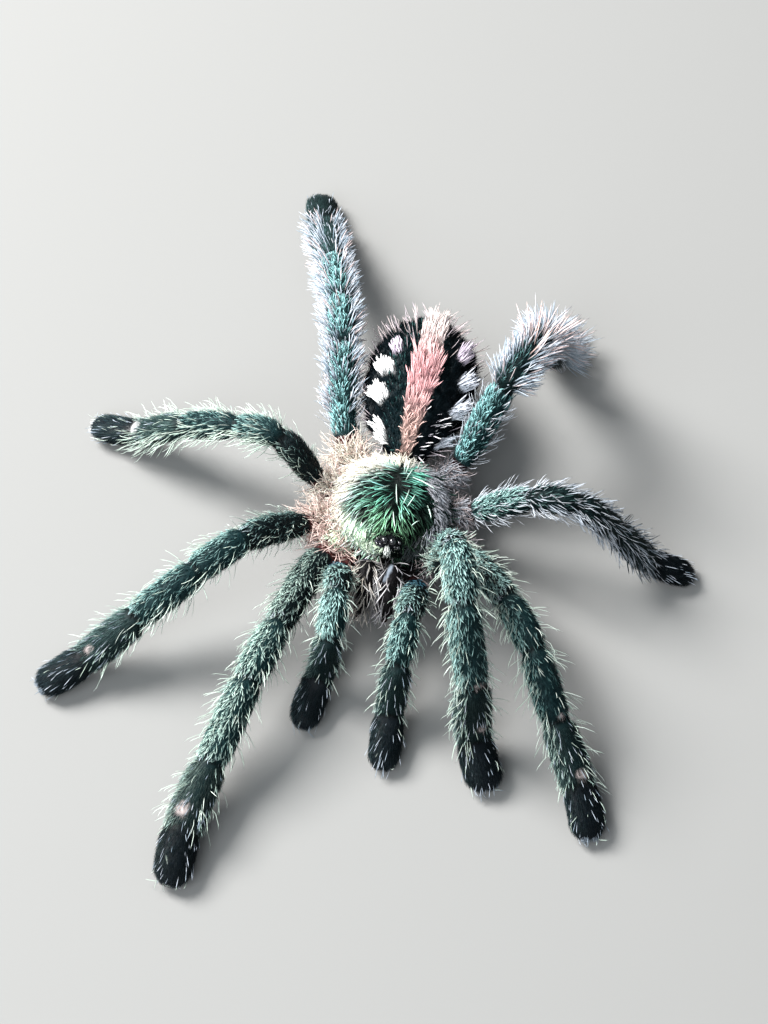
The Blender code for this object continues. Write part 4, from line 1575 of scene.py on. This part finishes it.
def hind_sheaf(coat):
    """Pale hairs that lie across the left side in front."""
    spots = hind_spots(density=5)
    beside = (spots.angle > 18) & (spots.angle < 75)
    in_front = (spots.back < -0.45) & (spots.back > -0.95)
    spots = spots.keep(beside & in_front & (between(0, 1, spots) < 0.6))
    coat.grow(spots, rearwards(spots, 2.6), (0.5, 0.9), (0.07, 0.10), (20, 50), LILAC, WHITE,
              droop=(0, 40), sway=(-30, 30), bends=3, flat=1.0)


make_coat("coat_brushes", "hind_body", WOOL_FINISH, hind_brushes)
make_coat("coat_hind_long", "hind_body", WOOL_FINISH, hind_long_hairs, hind_sheaf)

# %% [markdown]
# ## The face
#
# The jaws carry long curved hairs over a short dark coat, paler on the lit side, and leave two bald
# places: a purple-grey patch over one jaw and a painted pale bluish reflection along the other. Eight eyes
# sit on one low mound: two round ones in front, the others in a tight group at each side. They are wet
# black beads, so each is a smooth ball, sunk for more than a third, with a clear hard gloss. Between them
# grows very short dark hair, with a white tuft in front and green hair behind.

# %% Jaw hair
AHEAD = np.array((0.0, -1.0, -0.5))  # and down, as the jaws' hair lies


def face_roots(density):
    """Spots on the jaws and on the dark strip between them and the shield."""
    spots = front_spots(("chelicera_left", "chelicera_right", "underbody", "carapace"), density)
    return spots.keep((spots.y < -2.95) & (abs(spots.x) < 1.9) & (spots.z > 0.8) & (spots.z < 4.75))


def jaw_under(coat):
    """Very short dark hair."""
    spots = face_roots(density=70)
    spots = spots.keep(happens(1 - np.maximum(painted_reflection_share(spots), 0.7 * clypeus_share(spots))))
    shape = shapes(spots, (0.25, 0.45), (0.03, 0.05), (10, 30))
    tip = mix(JAW_BROWN, LAVENDER, between(0, 0.06, spots))
    coat.grow(spots, AHEAD, *shape, JAW_BROWN * 0.6, tip, bends=1)


def jaw_over(coat):
    """Long curved hair, closer and creamier on the lit side."""
    spots = face_roots(density=17)
    bald = np.maximum(0.8 * painted_reflection_share(spots), 0.7 * clypeus_share(spots))
    fewer = (1 - 0.60 * ramp(spots.x, 0.0, 0.9)) * (1 - bald) * (1 - 0.5 * ramp(spots.y, -3.9, -3.4))
    spots = spots.keep(happens(fewer))
    lie = AHEAD + np.c_[0.2 * spots.x + between(-0.6, 0.5, spots), np.zeros((len(spots), 2))]
    colour = mix(JAW_HAIR, mix(CREAM, PALE_PINK, 0.2), ramp(-spots.x, -0.4, 1.0))
    colour = mix(colour, LAVENDER * 0.7, between(0, 1, spots) ** 1.5) * between(0.5, 1.5, spots)[:, None]
    coat.grow(spots, lie, (0.8, 1.8), (0.065, 0.10), (14, 50), colour * 0.35, colour.clip(0, 1),
              droop=(0, 60), sway=(-95, 95), bends=3)


make_coat("coat_jaws", "jaws", WOOL_FINISH, jaw_under, jaw_over)

# %% Eyes
# Each pair's place from the mound's middle, across, along and up, and radius, in millimetres.
EYES = ((0.25, -0.07, 0.42, 0.23), (0.65, -0.36, 0.18, 0.15),
        (0.45, -0.36, 0.27, 0.11), (0.68, -0.06, 0.27, 0.13))
EYE_PLACES = [(Vector(MOUND_MIDDLE) + MOUND_TILT @ Vector((sign * across, along, up)), radius)
              for across, along, up, radius in EYES for sign in (-1, 1)]


def glossy_material(name, roughness, scale, dark, pale):
    """A hard, glossy material whose colour wanders between two, and its shader."""
    material, nodes, links = new_material(name)
    shader = nodes["Principled BSDF"]
    shader.inputs["Roughness"].default_value = roughness
    where = nodes.new("ShaderNodeTexCoord")
    noise = nodes.new("ShaderNodeTexNoise")
    noise.inputs["Scale"].default_value = scale
    colours = nodes.new("ShaderNodeValToRGB")
    colours.color_ramp.elements[0].color = (*dark, 1)
    colours.color_ramp.elements[1].color = (*pale, 1)
    links.new(where.outputs["Object"], noise.inputs["Vector"])
    links.new(noise.outputs["Fac"], colours.inputs["Fac"])
    links.new(colours.outputs["Color"], shader.inputs["Base Color"])
    return material, shader


def face_number(face, count):
    """A number made of a face's corners' numbers, to keep the faces in one order."""
    number = 0
    for corner in sorted(vert.index for vert in face.verts):
        number = number * count + corner
    return number


def make_eyes():
    beads = bmesh.new()
    for place, radius in EYE_PLACES:
        bmesh.ops.create_uvsphere(beads, u_segments=24, v_segments=16, radius=radius,
                                  matrix=Matrix.Translation(place))
    beads.verts.index_update()
    beads.faces.sort(key=lambda face: face_number(face, len(beads.verts)))
    wet, shader = glossy_material("eye_wet_black", 0.04, 3000,
                                  (0.002, 0.002, 0.003), (0.012, 0.010, 0.014))
    shader.inputs["Coat Weight"].default_value = 1.0
    shader.inputs["Coat Roughness"].default_value = 0.02
    eyes = finish_piece(show("eyes", mesh_from(beads, "eyes")), wet)
    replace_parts(eyes, "eye_mound")
    print("eyes:", len(EYE_PLACES))
    return eyes


make_eyes()

# %% Hair between the eyes
EYE_GAP = 0.06  # no hair grows nearer to an eye than this


def brow_hair(coat):
    """Dark hair between the eyes, lime beside them on the animal's right, a white tuft in front and green
    behind. On the left the hair beside them stays dark, as painted shade.
    """
    spots = front_spots(("eye_mound", "carapace"), density=170)
    spots = spots.keep((spots.y < -2.3) & (abs(spots.x) < 1.25) & (spots.z > 4.3))
    for place, radius in EYE_PLACES:
        spots = spots.keep(np.linalg.norm(spots.place - np.array(place), axis=1) > radius + EYE_GAP)
    tuft = (abs(spots.x - 0.24) < 0.26) & (spots.y < -3.30) & (spots.z > 4.8)
    from_mound = np.stack([spots.x - 0.20, spots.y + 2.95], 1)
    # Painted shade: the lime grows only on the animal's right, which faces the lamp.
    outside = ramp(np.linalg.norm(from_mound, axis=1), 0.35, 0.75) * (1 - ramp(spots.x, 0.0, 0.35))
    behind = ramp(spots.y, -2.95, -2.65)
    pale = happens(np.where(tuft, 0.85, 0.04 + 0.80 * outside * (1 - behind)))
    colour = np.where(pale[:, None], mix(LIME_CREAM, WHITE, tuft * 0.8), BLUE_BLACK * 0.6)
    colour = mix(colour, SPRING_GREEN * between(0.02, 0.5, spots)[:, None] ** 1.5, behind)
    away = np.where(tuft[:, None], (0.0, -1.0), mix(unit(from_mound), np.array((0.0, -1.0)), behind))
    length = between(0.13, 0.25, spots) * np.where(tuft, 2.6, 1 + 1.3 * outside + 1.1 * behind)
    width = between(0.035, 0.055, spots) * (1 + 0.4 * outside)
    coat.grow(spots, np.c_[away, np.full(len(spots), -0.3)], length, width, (8, 30),
              colour * 0.6, colour, sway=(-25, 25))


make_coat("coat_brow", "shield", WOOL_FINISH, brow_hair)

# %% [markdown]
# ## Fangs
#
# A fang is a needle of dark horn, polished by use, that folds under its jaw. It could be turned
# from a curve, but its solid already has the right shape, in facets. So the solid is remeshed
# finely and smoothed, and gets a deep red-black.

# %% Fangs
FANG_HORN, _ = glossy_material("fang_horn", 0.16, 1800, (0.006, 0.004, 0.004), (0.040, 0.014, 0.010))
FANG_VOXEL = 0.05
FANG_SMOOTHING = 6
for side in SIDES:
    smooth = frame["nodes"][f"fang_{side}"].data.copy()
    smooth.transform(Matrix.Scale(1 / MM, 4))
    weld = bmesh.new()
    weld.from_mesh(smooth)
    bmesh.ops.remove_doubles(weld, verts=weld.verts, dist=0.001)
    weld.to_mesh(smooth)
    weld.free()
    horn = remeshed(show(f"horn_{side}", smooth), FANG_VOXEL, FANG_SMOOTHING)
    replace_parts(finish_piece(horn, FANG_HORN), f"fang_{side}")
print("fangs:", len(SIDES))

# %% [markdown]
# ## Floor, light and camera
#
# The spider stands on a plain pale floor. A big soft lamp behind its right shoulder gives the light,
# which leaves the other side of the shield in shade, and a weak cool one in front opens the
# shadows. The camera looks down on the spider from in front, through a long lens, a little rolled.
# A wide lens close by would show more of its sides, but it would swell the nearest leg. A long
# lens from far away keeps near and far legs almost at one scale.

# %% Floor
FLOOR_SIZE = 1.2  # in metres, as are the lamps' places


def make_floor():
    half = FLOOR_SIZE / 2
    corners = [(-half, -half, 0), (half, -half, 0), (half, half, 0), (-half, half, 0)]
    floor = show("floor", new_mesh("floor", corners, [(0, 1, 2, 3)]))
    material, nodes, _ = new_material("floor_pale")
    nodes["Principled BSDF"].inputs["Base Color"].default_value = (0.24, 0.24, 0.236, 1)
    nodes["Principled BSDF"].inputs["Roughness"].default_value = 0.9
    floor.data.materials.append(material)
    return floor


make_floor()
print("floor, in m:", FLOOR_SIZE)

# %% Lamps
def make_lamp(name, place, size, power, colour):
    """A soft lamp that faces the spider. Its place and size are in metres."""
    light = bpy.data.lights.new(name, "AREA")
    light.size = size
    light.energy = power
    light.color = colour
    lamp = bpy.data.objects.new(name, light)
    lamp.location = place
    lamp.rotation_euler = (-Vector(place)).to_track_quat("-Z", "Y").to_euler()
    bpy.context.scene.collection.objects.link(lamp)
    print(f"{name} lamp: {power} W")


make_lamp("key", (-0.28, 0.10, 0.27), 0.18, 5.3, (1.0, 0.99, 0.97))
make_lamp("fill", (-0.16, -0.26, 0.28), 0.30, 1.5, (0.92, 0.97, 1.0))
world = bpy.data.worlds.new("studio")
world.use_nodes = True
sky = world.node_tree.nodes["Background"]
sky.inputs["Color"].default_value = (0.85, 0.92, 0.98, 1)
sky.inputs["Strength"].default_value = 0.32
bpy.context.scene.world = world
bpy.context.scene.view_settings.view_transform = "Standard"

# %% Camera
CAMERA_ELEVATION = math.radians(58.2)
CAMERA_AZIMUTH = math.radians(0.9)
CAMERA_ROLL = math.radians(10.05)
CAMERA_DISTANCE = 160.0
CAMERA_TARGET = BODY + (0, 0, 3.0)
CAMERA_NUDGE = (-0.35, 0.51)  # to the picture's right and up
LENS = 88.97


def make_camera():
    flat = math.cos(CAMERA_ELEVATION)
    back = np.array([math.sin(CAMERA_AZIMUTH) * flat, -math.cos(CAMERA_AZIMUTH) * flat,
                     math.sin(CAMERA_ELEVATION)])
    right = np.array([math.cos(CAMERA_AZIMUTH), math.sin(CAMERA_AZIMUTH), 0])
    up = np.cross(back, right)
    cosine, sine = math.cos(CAMERA_ROLL), math.sin(CAMERA_ROLL)
    right, up = cosine * right + sine * up, -sine * right + cosine * up
    place = CAMERA_TARGET + back * CAMERA_DISTANCE + right * CAMERA_NUDGE[0] + up * CAMERA_NUDGE[1]
    data = bpy.data.cameras.new("camera")
    data.lens = LENS
    data.clip_start = 0.001
    camera = bpy.data.objects.new("camera", data)
    axes = Matrix(np.stack([right, up, back], 1).tolist()).to_4x4()
    camera.matrix_world = Matrix.Translation(Vector(place) * MM) @ axes
    bpy.context.scene.collection.objects.link(camera)
    bpy.context.scene.camera = camera
    print("camera, in mm:", place.round(1))


make_camera()
